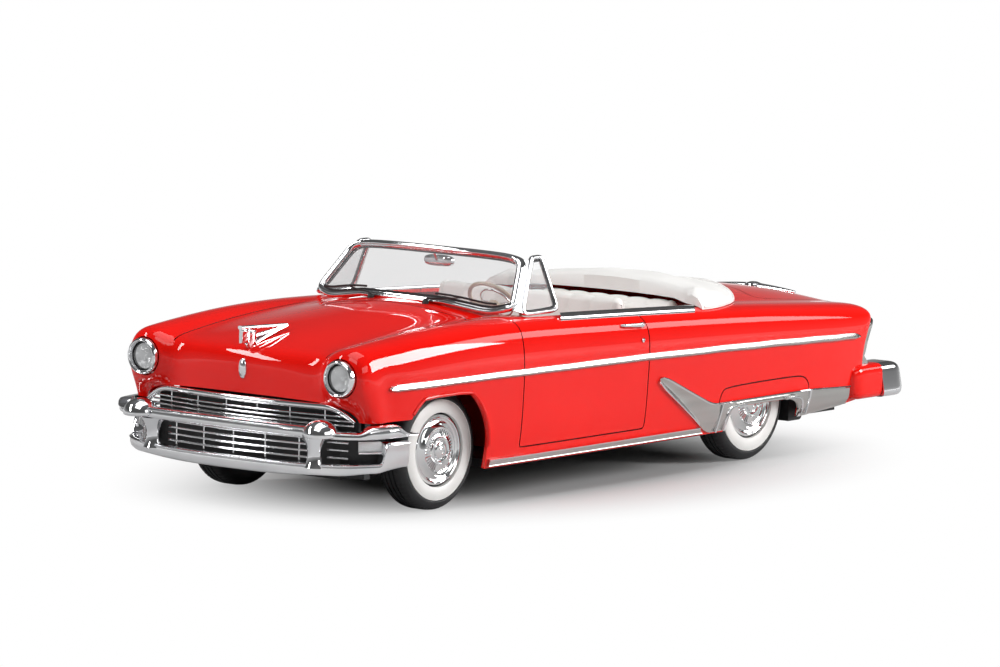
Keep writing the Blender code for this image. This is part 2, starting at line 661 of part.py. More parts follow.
def make_vent(tag, side):
    corners = vent_corners(side)
    middle = sum(corners, Vector()) / 4
    path = []
    for corner, following in zip(corners, corners[1:] + corners[:1]):
        path += [corner.lerp(following, share) for share in (0.06, 0.94)]
    make_object("vent_frame_" + tag, tube(path, 0.35, 6, loop=True, up=(1, 0, 0)), CHROME)
    inset = [corner + (middle - corner).normalized() * 1.3 for corner in corners]
    half = Vector((0.15, 0, 0))
    make_object("vent_glass_" + tag, loft([[p - half for p in inset], [p + half for p in inset]]), CLEAR)


def make_wiper(name, side):
    """An arm from its pivot on the cowl up to a blade that lies along the foot of the glass."""
    ahead = 0.5 * FRAME_BAR + WIPER_RADIUS + 2 * SEAT_GAP

    def place(across, up):
        foot, point = windshield_point(side * across, 0.0), windshield_point(side * across, up)
        return Vector((point.x, foot.y - ahead, point.z))

    pivot = place(0.28, 0.0)
    pivot.z = skin.top(abs(pivot.x), pivot.y) + SEAT_GAP + WIPER_RADIUS
    elbow = pivot.lerp(place(0.6, 0.12), 0.2)
    arm = [pivot, elbow, place(0.44, 0.08), place(0.6, 0.12), place(0.88, 0.1)]
    make_object(name, tube(arm, WIPER_RADIUS, 5), BLACK)


def make_mirror():
    head = windshield_point(0.0, 1.0)
    y, z = head.y + 1.6, head.z - 1.9
    glass = loft([
        [(x, y + deep, z + tall) for deep, tall in ((-0.4, -0.5), (0.4, -0.8), (0.4, 0.8), (-0.4, 0.5))]
        for x in (-2.6, -2.0, 2.0, 2.6)
    ])
    mirror = make_object("rear_view_mirror", glass, CHROME)
    stalk = tube([(0, y - 0.1, z), (0, head.y + 0.5 * FRAME_BAR + SEAT_GAP + 0.3, head.z - 0.1)], 0.28, 6)
    combine(mirror, make_guide("mirror_stalk_guide", stalk), "UNION")


def tub_outline(inset):
    """The tub in plan: full width to the rear wheels, then drawn in between them."""
    half, rear = TUB_HALF - inset, TUB_REAR_HALF - inset
    left = [
        (half, TUB_FRONT_Y + inset), (half, TUB_STEP_Y - inset), (rear, TUB_STEP_Y + 1.4 - inset),
        (rear, TUB_REAR_Y - inset),
    ]
    return left + [(-x, y) for x, y in reversed(left)]


def shelf_outline(inset):
    half, front, rear = TUB_HALF - inset, TUB_STEP_Y - 4.0, TUB_REAR_Y - inset
    return [(half, front), (half, rear), (-half, rear), (-half, front)]


def make_tub():
    """Floor and side walls in one moulding, stepped out over the rear wheels."""
    floor = BASE_TOP + SEAT_GAP
    tub = make_object("interior_tub", prism(tub_outline(0.0), "Z", floor, TUB_TOP), RED)
    combine(tub, make_guide("shelf_guide", prism(shelf_outline(0.0), "Z", SHELF_Z, SHELF_TOP)), "UNION")
    well = prism(tub_outline(TUB_WALL), "Z", floor + TUB_WALL, TUB_TOP + 5)
    combine(tub, make_guide("tub_guide", well), "DIFFERENCE")
    ledge = prism(shelf_outline(TUB_WALL), "Z", SHELF_Z + TUB_WALL, TUB_TOP + 5)
    combine(tub, make_guide("ledge_guide", ledge), "DIFFERENCE")


def make_dashboard():
    """A padded roll over a flat fascia with a hooded cluster ahead of the driver."""
    y = TUB_FRONT_Y + TUB_WALL + SEAT_GAP
    low, top = TUB_TOP - 5.0, BELT_Z + 0.1
    half = TUB_HALF - TUB_WALL - SEAT_GAP
    roll = arc((y + 1.2, top - 1.2), 1.2, -60, 90, 6)
    outline = [(y, low), (y + 0.9, low), (y + 1.1, low + 3.4)] + roll + [(y, top)]
    dash = make_object("dashboard", prism(outline, "X", -half, half), RED)
    cluster = ((0.0, 0.0), (2.0, 0.0), (2.0, 1.6), (1.7, 2.0), (0.0, 1.6))
    hood = revolve(cluster, 16, (0, 1, 0), (WHEEL_X, y + 0.9, top - 1.6))
    combine(dash, make_guide("cluster_guide", hood), "UNION")


def make_steering():
    """Rim, two spokes, hub and column as one moulding, with the bright horn ring on top."""
    lean = Matrix.Rotation(WHEEL_TILT - math.pi / 2, 4, "X")
    centre = Vector((WHEEL_X, TUB_FRONT_Y + 5.6, BELT_Z + 0.9))
    place = Matrix.Translation(centre) @ lean
    ring = revolve(arc((WHEEL_RIM, 0.0), 0.3, 0, 300, 5), 18, (0, 0, 1))
    ring.transform(place)
    wheel = make_object("steering_wheel", ring, CREAM)
    hub = revolve(((0.0, -1.6), (0.5, -1.6), (0.5, -0.9), (0.9, -0.5), (0.9, 0.1), (0.0, 0.3)), 10, (0, 0, 1))
    spokes = box((-WHEEL_RIM, -0.3, -0.25), (WHEEL_RIM, 0.3, 0.05))
    for tag, shape in (("hub", hub), ("spoke", spokes)):
        shape.transform(place)
        combine(wheel, make_guide("wheel_" + tag + "_guide", shape), "UNION")
    horn_ring = revolve(arc((0.62 * WHEEL_RIM, 0.0), 0.16, 0, 270, 3), 16, (0, 0, 1))
    horn_ring.transform(place @ Matrix.Translation((0, 0, 0.4)))
    make_object("horn_ring", horn_ring, CHROME)


def make_bench(name, y, half, cushion_z, depth, back_y, back_top, pleats):
    """A pleated bench: cushion and raked back in one moulding, crowned between channels, its ends drawn in."""
    low = BASE_TOP + SEAT_GAP + TUB_WALL + SEAT_GAP
    draw, crown = 0.8, 0.2
    stations = [(-half, -draw)]
    for i in range(2 * pleats + 1):
        stations.append(((half - draw) * (i / pleats - 1), crown if i % 2 else 0.0))
    stations.append((half, -draw))
    rings = []
    for x, puff in stations:
        outline = [(y, low), (y + depth + 3.6, low)]
        outline += arc((back_y + 2.4, back_top - 1.2), 1.2 + puff, 0, 150, 5)
        outline += [(y + depth - puff, cushion_z + 0.4 + puff), (y + depth - 1.0, cushion_z + puff)]
        outline.append((y + 1.4, cushion_z + 0.5 + puff))
        outline += arc((y + 1.2, cushion_z - 0.7), 1.2 + puff, 90, 180, 4)
        rings.append([(x, a, b) for a, b in outline])
    return make_object(name, loft(rings), WHITE)


def make_front_seat():
    half, back, top = TUB_HALF - TUB_WALL - 1.1, FRONT_SEAT_Y + 9.6, BELT_Z + 1.0
    make_bench("front_seat", FRONT_SEAT_Y, half, CUSHION_Z, 9.0, back, top, 8)


def make_rear_seat():
    """The rear bench between the wheels, with a back that widens above them."""
    back, top = REAR_SEAT_Y + 8.3, BELT_Z - 1.2
    low, half = SHELF_Z + TUB_WALL + SEAT_GAP, TUB_HALF - TUB_WALL - 2 * SEAT_GAP
    seat = make_bench("rear_seat", REAR_SEAT_Y, TUB_REAR_HALF - 1.2, CUSHION_Z + 0.6, 7.5, back, top, 6)
    outline = [
        (back + 0.6, low), (back + 2.6, low), (back + 2.6, TUB_TOP - 0.6), (back + 1.9, TUB_TOP),
        (back + 1.3, TUB_TOP),
    ]
    combine(seat, make_guide("seat_shoulder_guide", prism(outline, "X", -half, half)), "UNION")


def boot_point(along, across):
    """A place on the folded-top cover: along runs round the rear of the cabin, across from cabin to deck."""
    start, end, half = REAR_AXLE_Y - 12.3, COCKPIT_REAR_Y + BOOT_LAP, COCKPIT_HALF + 1.3
    front = start - 1.2
    inner = cabin_curve(along, COCKPIT_HALF - 2.6, start, start + 3.6)
    reach = math.cos(math.pi * along)
    outer = Vector((half * reach, front + (end - front) * (1 - abs(reach) ** 1.3) ** 0.5))
    return inner.lerp(outer, across)


def make_boot():
    """The cover over the folded top: a padded horseshoe that lies on the deck round the rear of the cabin."""
    rings = []
    steps = 16
    for i in range(steps + 1):
        along = i / steps
        swell = math.sin(math.pi * along)
        flat = swell ** 3
        crown = (2.6 - 0.8 * swell) * min(1.0, 0.55 + 6.0 * min(along, 1 - along))
        shares = (
            (0.0, 0.5), (0.06, 0.85), (0.3, 1.0), (0.65, 0.85 - 0.4 * flat), (0.93, 0.45 - 0.3 * flat),
            (1.0, 0.1),
        )
        under, over = [], []
        for across, share in shares:
            place = boot_point(along, across)
            low = skin.top(abs(place.x), place.y) + SEAT_GAP
            over.append((place.x, place.y, low + crown * share))
            under.append((place.x, place.y, min(low, BOOT_HEM_Z) if across < 0.1 else low))
        rings.append(over + under[::-1])
    make_object("top_boot", loft(rings), WHITE)


def grille_face(x):
    return NOSE_Y - 0.3 + GRILLE_SWEEP * (x / GRILLE_HALF) ** 2


def slotted_plate(name, half, low, high, face, taper, columns, rows, material):
    """A curved plate with rows of slots, which leaves the bars and uprights of a grille."""
    rings = []
    steps = 10
    for i in range(steps + 1):
        x = half * (-1 + 2 * i / steps)
        drop = taper * abs(x / half) ** 2
        y, top, bottom = face(x), high - drop, low + 0.4 * drop
        rings.append([(x, y - 0.4, bottom), (x, y, top), (x, y + 1.0, top), (x, y + 0.6, bottom)])
    plate = make_object(name, loft(rings), material)
    pitch = 2 * (half - 2.2) / columns
    step = (high - low - 1.0) / rows
    slots = []
    for column in range(columns):
        x = -half + 2.2 + pitch * (column + 0.5)
        sink = taper * abs(x / half) ** 2
        for row in range(rows):
            z = low + 0.3 + 0.4 * sink + step * (row + 0.5) * (1 - 1.4 * sink / (high - low))
            wide, tall = 0.42 * pitch, 0.3 * step
            slots.append(box((x - wide, face(x) - 2, z - tall), (x + wide, face(x) + 3, z + tall)))
    combine(plate, make_guide(name + "_slot_guide", merge(*slots)), "DIFFERENCE")


def make_upper_grille():
    low, high = BUMPER_Z + 0.3, BUMPER_Z + 3.4
    slotted_plate("upper_grille", GRILLE_HALF, low, high, grille_face, 1.5, 7, 3, CHROME)


def make_lower_grille():
    low, high = PAN_Z + 0.2, BUMPER_Z - BUMPER_RISE - 0.2
    slotted_plate("lower_grille", GUARD_X - 3.2, low, high, lambda x: grille_face(x) - 1.4, 0.0, 5, 3, CHROME)


def bumper_plan(turn, wide, deep, start):
    """A squared-off curve from the middle of the car at turn 0 to the wing at turn 1, with its outward side."""
    power = 2 / 3.2

    def place(t):
        a = 0.5 * math.pi * min(max(abs(t), 0.0001), 0.9999)
        across = math.copysign(wide * math.sin(a) ** power, t)
        return Vector((across, start + deep * (1 - math.cos(a) ** power)))

    here = place(turn)
    ahead = place(turn + 0.01) - place(turn - 0.01)
    return here, Vector((ahead.y, -ahead.x)).normalized()


def bar_rings(wide, deep, start, levels, thickness, low, high, steps):
    """Rings of a bright bar along the bumper's plan between turns low and high."""
    rings = []
    for i in range(steps + 1):
        turn = low + (high - low) * i / steps
        place, out = bumper_plan(turn, wide, deep, start)
        bottom, top = (blend(stops, abs(turn)) for stops in levels)
        half, middle = 0.5 * (top - bottom), 0.5 * (top + bottom)
        shape = ((0.0, -1.0), (0.4, -0.7), (0.5, 0.0), (0.4, 0.7), (0.0, 1.0), (-0.5, 1.0), (-0.5, -1.0))
        ring = []
        for outward, rise in shape:
            point = place + out * outward * thickness
            ring.append((point.x, point.y, middle + rise * half))
        rings.append(ring)
    return rings


def make_front_bumper():
    """Upper bar with raised wings, lower pan, and a bullet guard on a stem on either side."""
    low, high = BUMPER_Z - BUMPER_RISE, BUMPER_Z + BUMPER_RISE
    bottom = ((0.0, low), (1.0, low + 0.1))
    top = (
        (0.0, high), (0.33, high), (0.42, high - 0.5), (0.6, high - 0.5), (0.74, WING_TOP), (0.94, WING_TOP),
        (1.0, low + 0.5),
    )
    bar = loft(bar_rings(HALF_WIDTH + 0.2, 12.2, BUMPER_Y, (bottom, top), 1.6, -1, 1, 32))
    bumper = make_object("front_bumper", bar, CHROME)
    pan_top = ((0.0, PAN_Z), (0.81, PAN_Z + 0.3), (0.875, low - 0.5), (1.0, low - 0.5))
    pan_low = ((0.0, PAN_Z - 1.4), (0.6, PAN_Z - 1.1), (1.0, PAN_Z - 0.6))
    pan = loft(bar_rings(HALF_WIDTH + 0.1, 10.6, BUMPER_Y + 0.5, (pan_low, pan_top), 1.5, -1, 1, 32))
    combine(bumper, make_guide("pan_guide", pan), "UNION")
    for side in (-1, 1):
        tag = "left" if side > 0 else "right"
        y = BUMPER_Y + 1.2
        angles = [math.pi * k / 4 for k in range(8)]
        stem = loft([
            [(side * (GUARD_X - 1.7) + r * math.cos(a), y + 0.7 * r * math.sin(a), z) for a in angles]
            for z, r in ((PAN_Z - 0.5, 1.5), (PAN_Z + 1.4, 1.1), (PAN_Z + 2.6, 1.1), (BUMPER_Z - 0.2, 1.9))
        ])
        combine(bumper, make_guide("guard_stem_" + tag, stem), "UNION")
        nose = [(2.3 * math.cos(a), 2.3 * math.sin(a)) for a in (math.pi * (k / 6 - 0.5) for k in range(7))]
        nose[0], nose[-1] = (0.0, -2.3), (0.0, 2.3)
        guard = revolve(nose, 14, (0, 0, 1))
        squash = Matrix.Diagonal((1, 1.05, 0.6, 1))
        guard.transform(Matrix.Translation((side * GUARD_X, y - 0.8, BUMPER_Z + 0.4)) @ squash)
        combine(bumper, make_guide("guard_nose_" + tag, guard), "UNION")


def make_parking_lamp(name, side):
    """The ribbed lens under the wing of the bumper."""
    top = BUMPER_Z - BUMPER_RISE - 0.5
    levels = (((0.0, top - 1.4), (1.0, top - 1.4)), ((0.0, top), (1.0, top)))
    low, high = sorted((side * 0.63, side * 0.755))
    lens = loft(bar_rings(HALF_WIDTH - 0.2, 13.2, BUMPER_Y + 0.4, levels, 1.2, low, high, 6))
    make_object(name, lens, CLEAR)


def make_rear_bumper():
    rings = []
    for i in range(13):
        x = REAR_BAR_HALF * (-1 + i / 6)
        y = TAIL_Y + 3.3 - 1.0 * (x / REAR_BAR_HALF) ** 2
        low, high = SILL_Z + 1.6, SILL_Z + 5.0
        rings.append([
            (x, y - 1.4, low), (x, y, low), (x, y + 0.5, low + 0.8), (x, y + 0.5, high - 0.8), (x, y, high),
            (x, y - 1.4, high),
        ])
    bumper = make_object("rear_bumper", loft(rings), CHROME)
    for side in (-1, 1):
        tag = "left" if side > 0 else "right"
        front = TAIL_Y - 0.3 + SEAT_GAP
        ends = []
        for y, shrink in ((front, 0.0), (front + 4.2, 0.1), (front + 5.2, 0.5), (front + 5.7, 1.3)):
            low, high = SILL_Z + 1.0 + shrink, SILL_Z + 6.1 - shrink
            inner, outer = HALF_WIDTH - 5.0 + 0.5 * shrink, HALF_WIDTH + 0.1 - 0.7 * shrink
            ends.append([
                (side * inner, y, low), (side * (outer - 0.8), y, low), (side * outer, y, low + 0.9),
                (side * outer, y, high - 0.9), (side * (outer - 0.8), y, high), (side * inner, y, high),
            ])
        combine(bumper, make_guide("bumper_end_" + tag, loft(ends)), "UNION")


def make_headlamp(tag, side):
    centre = (side * HEADLAMP_X, NOSE_Y, HEADLAMP_Z)
    r = HEADLAMP_RADIUS
    rim = ((r, 1.6), (r, -0.6), (r - 0.1, -1.0), (r - 0.45, -1.1), (r - 0.7, -0.5), (r - 0.7, 1.6))
    make_object("headlamp_bezel_" + tag, revolve(rim, 18, (0, 1, 0), centre), CHROME)
    glass = r - 0.7 - SEAT_GAP
    dome = ((0.0, -0.85), (0.5 * glass, -0.7), (0.85 * glass, -0.35), (glass, 0.1), (glass, 1.2), (0.0, 1.2))
    make_object("headlamp_lens_" + tag, revolve(dome, 14, (0, 1, 0), centre), CLEAR)


def tail_plate(inner, outer, low, high, gap, thickness, side):
    """A crowned plate that follows the tail of the fender, as a stack of rings from the bottom up."""
    rings = []
    steps = 8
    for i in range(steps + 1):
        z = low + (high - low) * i / steps
        ease = min(1.0, 0.55 + 3.0 * min(i, steps - i) / steps)
        middle, half = 0.5 * (inner + outer), 0.5 * (outer - inner) * ease
        shares = (-1.0, -0.5, 0.0, 0.5, 1.0)
        foot = [(middle + half * share, skin.rear(middle + half * share, z) + gap) for share in shares]
        crown = [(x, y + thickness * (1 - 0.4 * share * share)) for (x, y), share in zip(foot, shares)]
        rings.append([(side * x, y, z) for x, y in foot + crown[::-1]])
    return loft(rings)


def make_tail_lamp(tag, side):
    low, high = SILL_Z + 6.8, SILL_Z + 13.0
    bezel_thickness = 0.5
    inner, outer, rim = HALF_WIDTH - 4.7, HALF_WIDTH - 1.4, 0.4
    bezel = tail_plate(inner, outer, low, high, 2 * SEAT_GAP, bezel_thickness, side)
    make_object("tail_lamp_bezel_" + tag, bezel, CHROME)
    gap = 2 * SEAT_GAP + bezel_thickness + SEAT_GAP
    lens = tail_plate(inner + rim, outer - rim, low + 2 * rim, high - 2 * rim, gap, 0.6, side)
    make_object("tail_lamp_lens_" + tag, lens, RED_CLEAR)


def make_hood_ornament():
    """A dart on the leading edge of the hood: an upright prow with an upper and a lower blade swept back."""
    half = 0.55
    tip, heel = NOSE_Y + 1.0, NOSE_Y + 9.4
    foot = [(tip + y, skin.top(half, tip + y) + SEAT_GAP) for y in (0.2, 1.0, 2.0, 3.2, 4.6)]
    base = foot[-1][1]
    slot = tip + 2.8
    outline = [(tip, foot[0][1] + 0.5)] + foot + [(heel, base + 1.9), (heel, base + 2.3), (slot, base + 1.2)]
    outline += [(slot, base + 1.5), (heel, base + 2.7), (heel, base + 3.1), (tip, base + 2.5)]
    rings = [[(x, y, z) for y, z in outline] for x in (-half, half)]
    make_object("hood_ornament", loft(rings), CHROME, smooth=False)


def make_trunk_ornament():
    """Bright wings across the trailing edge of the trunk, on either side of a plain boss."""
    y = TAIL_Y - 2.6
    rings = []
    wing = ((8.0, 0.25, 0.3), (4.0, 0.6, 0.5), (1.6, 0.8, 0.6), (1.2, 1.1, 1.0))
    for x, half, rise in [(-x, half, rise) for x, half, rise in wing] + list(reversed(wing)):
        lows = [skin.top(abs(x), y + half * share) + SEAT_GAP for share in (-1, 1)]
        rings.append([
            (x, y - half, lows[0]), (x, y + half, lows[1]), (x, y + half, lows[1] + 0.5 * rise),
            (x, y, max(lows) + rise), (x, y - half, lows[0] + 0.5 * rise),
        ])
    make_object("trunk_ornament", loft(rings), CHROME)


def make_base():
    """The base plate, waisted at the wheels, with axle saddles, screw holes and a wall across each end."""
    wide, narrow = HALF_WIDTH - BASE_INSET, SADDLE_X + 0.5 * SADDLE_WIDTH
    stern = wide - 3.4
    nose, tail = FRONT_AXLE_Y - BASE_NOSE, TAIL_Y - BASE_TAIL
    reach = TYRE_RADIUS + 1.4
    left = [
        (narrow, nose), (narrow, FRONT_AXLE_Y + reach), (wide, FRONT_AXLE_Y + reach + 1.0),
        (wide, REAR_AXLE_Y - reach - 1.0), (narrow, REAR_AXLE_Y - reach), (narrow, REAR_AXLE_Y + reach),
        (stern, REAR_AXLE_Y + reach + 2.0), (stern, tail),
    ]
    outline = left + [(-x, y) for x, y in reversed(left)]
    base = make_object("chassis_base", prism(outline, "Z", BASE_Z, BASE_TOP), BLACK)
    walls = []
    for y, half, top in ((nose, BULKHEAD_HALF, BULKHEAD_TOP), (tail - BASE_THICKNESS, stern, VALANCE_TOP)):
        walls.append(box((-half, y, BASE_Z + 0.4), (half, y + BASE_THICKNESS, top)))
    combine(base, make_guide("wall_guide", merge(*walls)), "UNION")
    saddles, bores = [], []
    for axle in (FRONT_AXLE_Y, REAR_AXLE_Y):
        for side in (-1, 1):
            low, high = side * SADDLE_X - 0.5 * SADDLE_WIDTH, side * SADDLE_X + 0.5 * SADDLE_WIDTH
            crown = arc((axle, AXLE_Z), SADDLE_RADIUS, 0, 180, 8)
            foot = BASE_Z + 0.4
            outline = [(axle + SADDLE_RADIUS, foot)] + crown + [(axle - SADDLE_RADIUS, foot)]
            saddles.append(prism(outline, "X", low, high))
        bore = AXLE_RADIUS + AXLE_CLEARANCE
        profile = ((0.0, -HALF_WIDTH), (bore, -HALF_WIDTH), (bore, HALF_WIDTH), (0.0, HALF_WIDTH))
        bores.append(revolve(profile, 12, (1, 0, 0), (0, axle, AXLE_Z)))
    combine(base, make_guide("saddle_guide", merge(*saddles)), "UNION")
    for y in (FRONT_POST_Y, REAR_POST_Y):
        head, shank = SCREW_HEAD + SEAT_GAP, SCREW_RADIUS + SEAT_GAP
        profile = ((0.0, -1.0), (head, -1.0), (head, 0.75), (shank, 0.75), (shank, 3.0), (0.0, 3.0))
        bores.append(revolve(profile, 12, (0, 0, 1), (0, y, BASE_Z)))
    combine(base, make_guide("base_bore_guide", merge(*bores)), "DIFFERENCE")


def make_screw(name, y):
    length = SCREW_LENGTH
    profile = (
        (0.0, 0.1), (SCREW_HEAD, 0.1), (SCREW_HEAD, 0.6), (SCREW_RADIUS, 0.6), (SCREW_RADIUS, length),
        (0.0, length),
    )
    make_object(name, revolve(profile, 12, (0, 0, 1), (0, y, BASE_Z)), STEEL)


def make_wheelset(end, y):
    """An axle and its two wheels, hung on an empty at the axle's centre."""
    pivot = bpy.data.objects.new(end + "_wheelset", None)
    pivot.location = Vector((0, y, AXLE_Z)) * MM
    bpy.context.scene.collection.objects.link(pivot)
    half = 0.5 * TRACK
    length = half + 0.6
    pin = ((0.0, -length), (AXLE_RADIUS, -length), (AXLE_RADIUS, length), (0.0, length))
    make_object(end + "_axle", revolve(pin, 12), STEEL, pivot)
    w, r, b = 0.5 * TYRE_WIDTH, TYRE_RADIUS, RIM_RADIUS + 0.1
    groove = WHITEWALL_RADIUS + 0.1
    tyre = (
        (b, -w + 0.6), (r - 1.3, -w), (r - 0.3, -w + 0.5), (r, -w + 1.1), (r, w - 1.1), (r - 0.3, w - 0.5),
        (groove, w - 0.1), (groove, w - 0.6), (b, w - 0.75),
    )
    wall = (
        (b + 0.05, w - 0.62), (b + 0.05, w - 0.25), (b + 0.8, w + 0.04), (groove - 0.1, w - 0.04),
        (groove - 0.1, w - 0.47),
    )
    bore = AXLE_RADIUS + 0.08
    cap_radius = RIM_RADIUS - 0.05
    cap = (
        (0.0, 0.75), (bore, 0.75), (bore, -w + 0.4), (bore + 0.9, -w + 0.4), (bore + 0.9, 0.3),
        (cap_radius, 0.3), (cap_radius, w - 0.55), (cap_radius - 0.4, w - 0.15), (cap_radius - 0.9, w - 0.5),
        (cap_radius - 1.7, w - 0.45), (cap_radius - 2.1, w - 0.1), (cap_radius - 3.4, w + 0.25), (0.0, w + 0.4),
    )
    for tag, side in (("left", 1), ("right", -1)):
        for kind, profile, steps, material in (
            ("tyre", tyre, 24, RUBBER), ("whitewall", wall, 24, WHITE), ("hubcap", cap, 16, CHROME),
        ):
            turned = [(radius, side * (half + offset)) for radius, offset in profile]
            make_object("%s_%s_%s" % (kind, end, tag), revolve(turned, steps), material, pivot)


finish_body(body)
make_base()
make_screw("base_screw_front", FRONT_POST_Y)
make_screw("base_screw_rear", REAR_POST_Y)
make_wheelset("front", FRONT_AXLE_Y)
make_wheelset("rear", REAR_AXLE_Y)
make_tub()
make_dashboard()
make_steering()
make_front_seat()
make_rear_seat()
make_boot()
make_windshield()
make_mirror()
make_upper_grille()
make_lower_grille()
make_front_bumper()
make_rear_bumper()
make_hood_ornament()
make_trunk_ornament()
for tag, side in (("left", 1), ("right", -1)):
    make_vent(tag, side)
    make_wiper("wiper_" + tag, side)
    make_headlamp(tag, side)
    make_parking_lamp("parking_lamp_" + tag, side)
    make_spear("side_spear_" + tag, side)
    make_belt_moulding("belt_moulding_" + tag, side)
    make_rocker("rocker_moulding_" + tag, side)
    make_quarter_trim("quarter_trim_" + tag, side)
    make_door_handle("door_handle_" + tag, side)
    make_tail_lamp(tag, side)
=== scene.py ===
import json
import math

import bmesh
import bpy
from mathutils import Matrix, Vector
from mathutils.bvhtree import BVHTree


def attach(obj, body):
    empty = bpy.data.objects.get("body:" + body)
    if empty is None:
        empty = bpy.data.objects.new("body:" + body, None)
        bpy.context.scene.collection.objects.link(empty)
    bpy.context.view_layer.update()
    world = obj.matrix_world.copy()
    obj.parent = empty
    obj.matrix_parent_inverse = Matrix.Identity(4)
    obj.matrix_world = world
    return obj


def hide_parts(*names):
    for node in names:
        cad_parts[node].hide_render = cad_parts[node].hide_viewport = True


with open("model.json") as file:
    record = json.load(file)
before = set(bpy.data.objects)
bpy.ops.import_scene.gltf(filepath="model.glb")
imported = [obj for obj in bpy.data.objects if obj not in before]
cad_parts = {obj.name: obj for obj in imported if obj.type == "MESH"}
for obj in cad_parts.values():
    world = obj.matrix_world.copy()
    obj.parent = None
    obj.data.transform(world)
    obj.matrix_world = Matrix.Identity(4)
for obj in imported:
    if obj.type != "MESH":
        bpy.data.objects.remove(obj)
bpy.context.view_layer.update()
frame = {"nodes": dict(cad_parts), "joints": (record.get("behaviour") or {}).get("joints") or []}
mm = 0.001
scene = bpy.context.scene
sides = (("left", 1), ("right", -1))
xAxis = Vector((1, 0, 0))
yAxis = Vector((0, 1, 0))
zAxis = Vector((0, 0, 1))
origin = Vector()
fineCrease = 30  # an edge that turns by more degrees than this shows as a crease
softCrease = 38
trimCrease = 50
padCrease = 70
noCrease = 180
wireSection = (2.4, 10)  # how square a thin bar is, and the number of its sides
pinRadius = 0.004  # a turned shape stays this far from its axis, so that no faces collapse
print("frame: %d nodes" % len(frame["nodes"]))

# places that several pieces share, in millimetres; the nose points along -Y
axle = {joint["child"]: Vector(joint["pos_m"]) / mm for joint in frame["joints"]}
frontY = axle["front_wheelset"].y
rearY = axle["rear_wheelset"].y
axleZ = axle["front_wheelset"].z
halfWidth = 22.6
crestX = halfWidth - 4.0
valleyX = crestX - 4.3
beltZ = 25.0
spearZ = 18.3
sillZ = 6.0
noseY = frontY - 19.2
tailY = rearY + 29.4
bumperY = noseY - 3.0
cowlY = frontY + 15.2
cockpitHalf = halfWidth - 3.4
cockpitFrontY = cowlY + 4.2
cockpitRearY = rearY + 8.6
cockpitBendY = rearY - 12.0

# the mottle's detail and the part of it that tones and roughness spread over
patternForm = {"detail": 4.0, "spread": (0.3, 0.7)}
# a look's grain is its kind, scale, strength and depth in metres; each kind has a texture and an output
grainKinds = {
    "noise": ("ShaderNodeTexNoise", "Fac"), "cells": ("ShaderNodeTexVoronoi", "Distance"),
    "ribs": ("ShaderNodeTexWave", "Fac"),
}


def addNode(tree, kind, **values):
    node = tree.nodes.new(kind)
    for key, value in values.items():
        node.inputs[key.replace("_", " ")].default_value = value
    return node


def spreadPattern(tree, look):
    # a pattern in object space, so one unit is a metre and scale 1000 is a feature per millimetre
    place = tree.nodes.new("ShaderNodeTexCoord")
    spread = addNode(tree, "ShaderNodeMapping", Scale=look.get("stretch", (1, 1, 1)))
    tree.links.new(place.outputs["Object"], spread.inputs["Vector"])
    noise = addNode(tree, "ShaderNodeTexNoise", Scale=look["mottle"], Detail=patternForm["detail"])
    tree.links.new(spread.outputs["Vector"], noise.inputs["Vector"])
    return spread.outputs["Vector"], noise.outputs["Fac"]


def makeFinish(name, look):
    material = bpy.data.materials.new(name)
    material.use_nodes = True
    tree = material.node_tree
    shader = tree.nodes["Principled BSDF"]
    vector, mottle = spreadPattern(tree, look)
    low, high = patternForm["spread"]
    tone = tree.nodes.new("ShaderNodeValToRGB")
    tone.color_ramp.elements[0].position = low
    tone.color_ramp.elements[1].position = high
    tone.color_ramp.elements[0].color = (*look["dark"], 1)
    tone.color_ramp.elements[1].color = (*look["light"], 1)
    tree.links.new(mottle, tone.inputs["Fac"])
    tree.links.new(tone.outputs["Color"], shader.inputs["Base Color"])
    least, most = look["rough"]
    rough = addNode(tree, "ShaderNodeMapRange", From_Min=low, From_Max=high, To_Min=least, To_Max=most)
    tree.links.new(mottle, rough.inputs["Value"])
    tree.links.new(rough.outputs["Result"], shader.inputs["Roughness"])
    if "grain" in look:
        kind, scale, strength, depth = look["grain"]
        texture, output = grainKinds[kind]
        grain = addNode(tree, texture, Scale=scale)
        tree.links.new(vector, grain.inputs["Vector"])
        bump = addNode(tree, "ShaderNodeBump", Strength=strength, Distance=depth)
        tree.links.new(grain.outputs[output], bump.inputs["Height"])
        tree.links.new(bump.outputs["Normal"], shader.inputs["Normal"])
    for socket, value in look.get("sockets", {}).items():
        shader.inputs[socket].default_value = value
    return material


enamelLook = {
    "dark": (0.80, 0.005, 0.002), "light": (0.87, 0.007, 0.003), "mottle": 60.0, "rough": (0.22, 0.30),
    "grain": ("noise", 1600.0, 0.04, 0.0001),
    "sockets": {"Coat Weight": 1.0, "Coat Roughness": 0.02, "Coat IOR": 1.45, "Specular IOR Level": 0.0},
}
plateLook = {
    "dark": (0.80, 0.81, 0.83), "light": (0.90, 0.90, 0.91), "mottle": 180.0, "rough": (0.04, 0.10),
    "sockets": {"Metallic": 1.0},
}
capLook = {
    "dark": (0.78, 0.79, 0.80), "light": (0.90, 0.90, 0.90), "mottle": 240.0, "rough": (0.06, 0.14),
    "sockets": {"Metallic": 1.0},
}
foilLook = {
    "dark": (0.54, 0.53, 0.51), "light": (0.63, 0.62, 0.60), "mottle": 900.0, "stretch": (1, 0.04, 1),
    "rough": (0.13, 0.19), "sockets": {"Metallic": 1.0},
}
reflectorLook = {
    "dark": (0.86, 0.87, 0.88), "light": (0.94, 0.94, 0.94), "mottle": 300.0, "rough": (0.16, 0.24),
    "sockets": {"Metallic": 0.15},
}
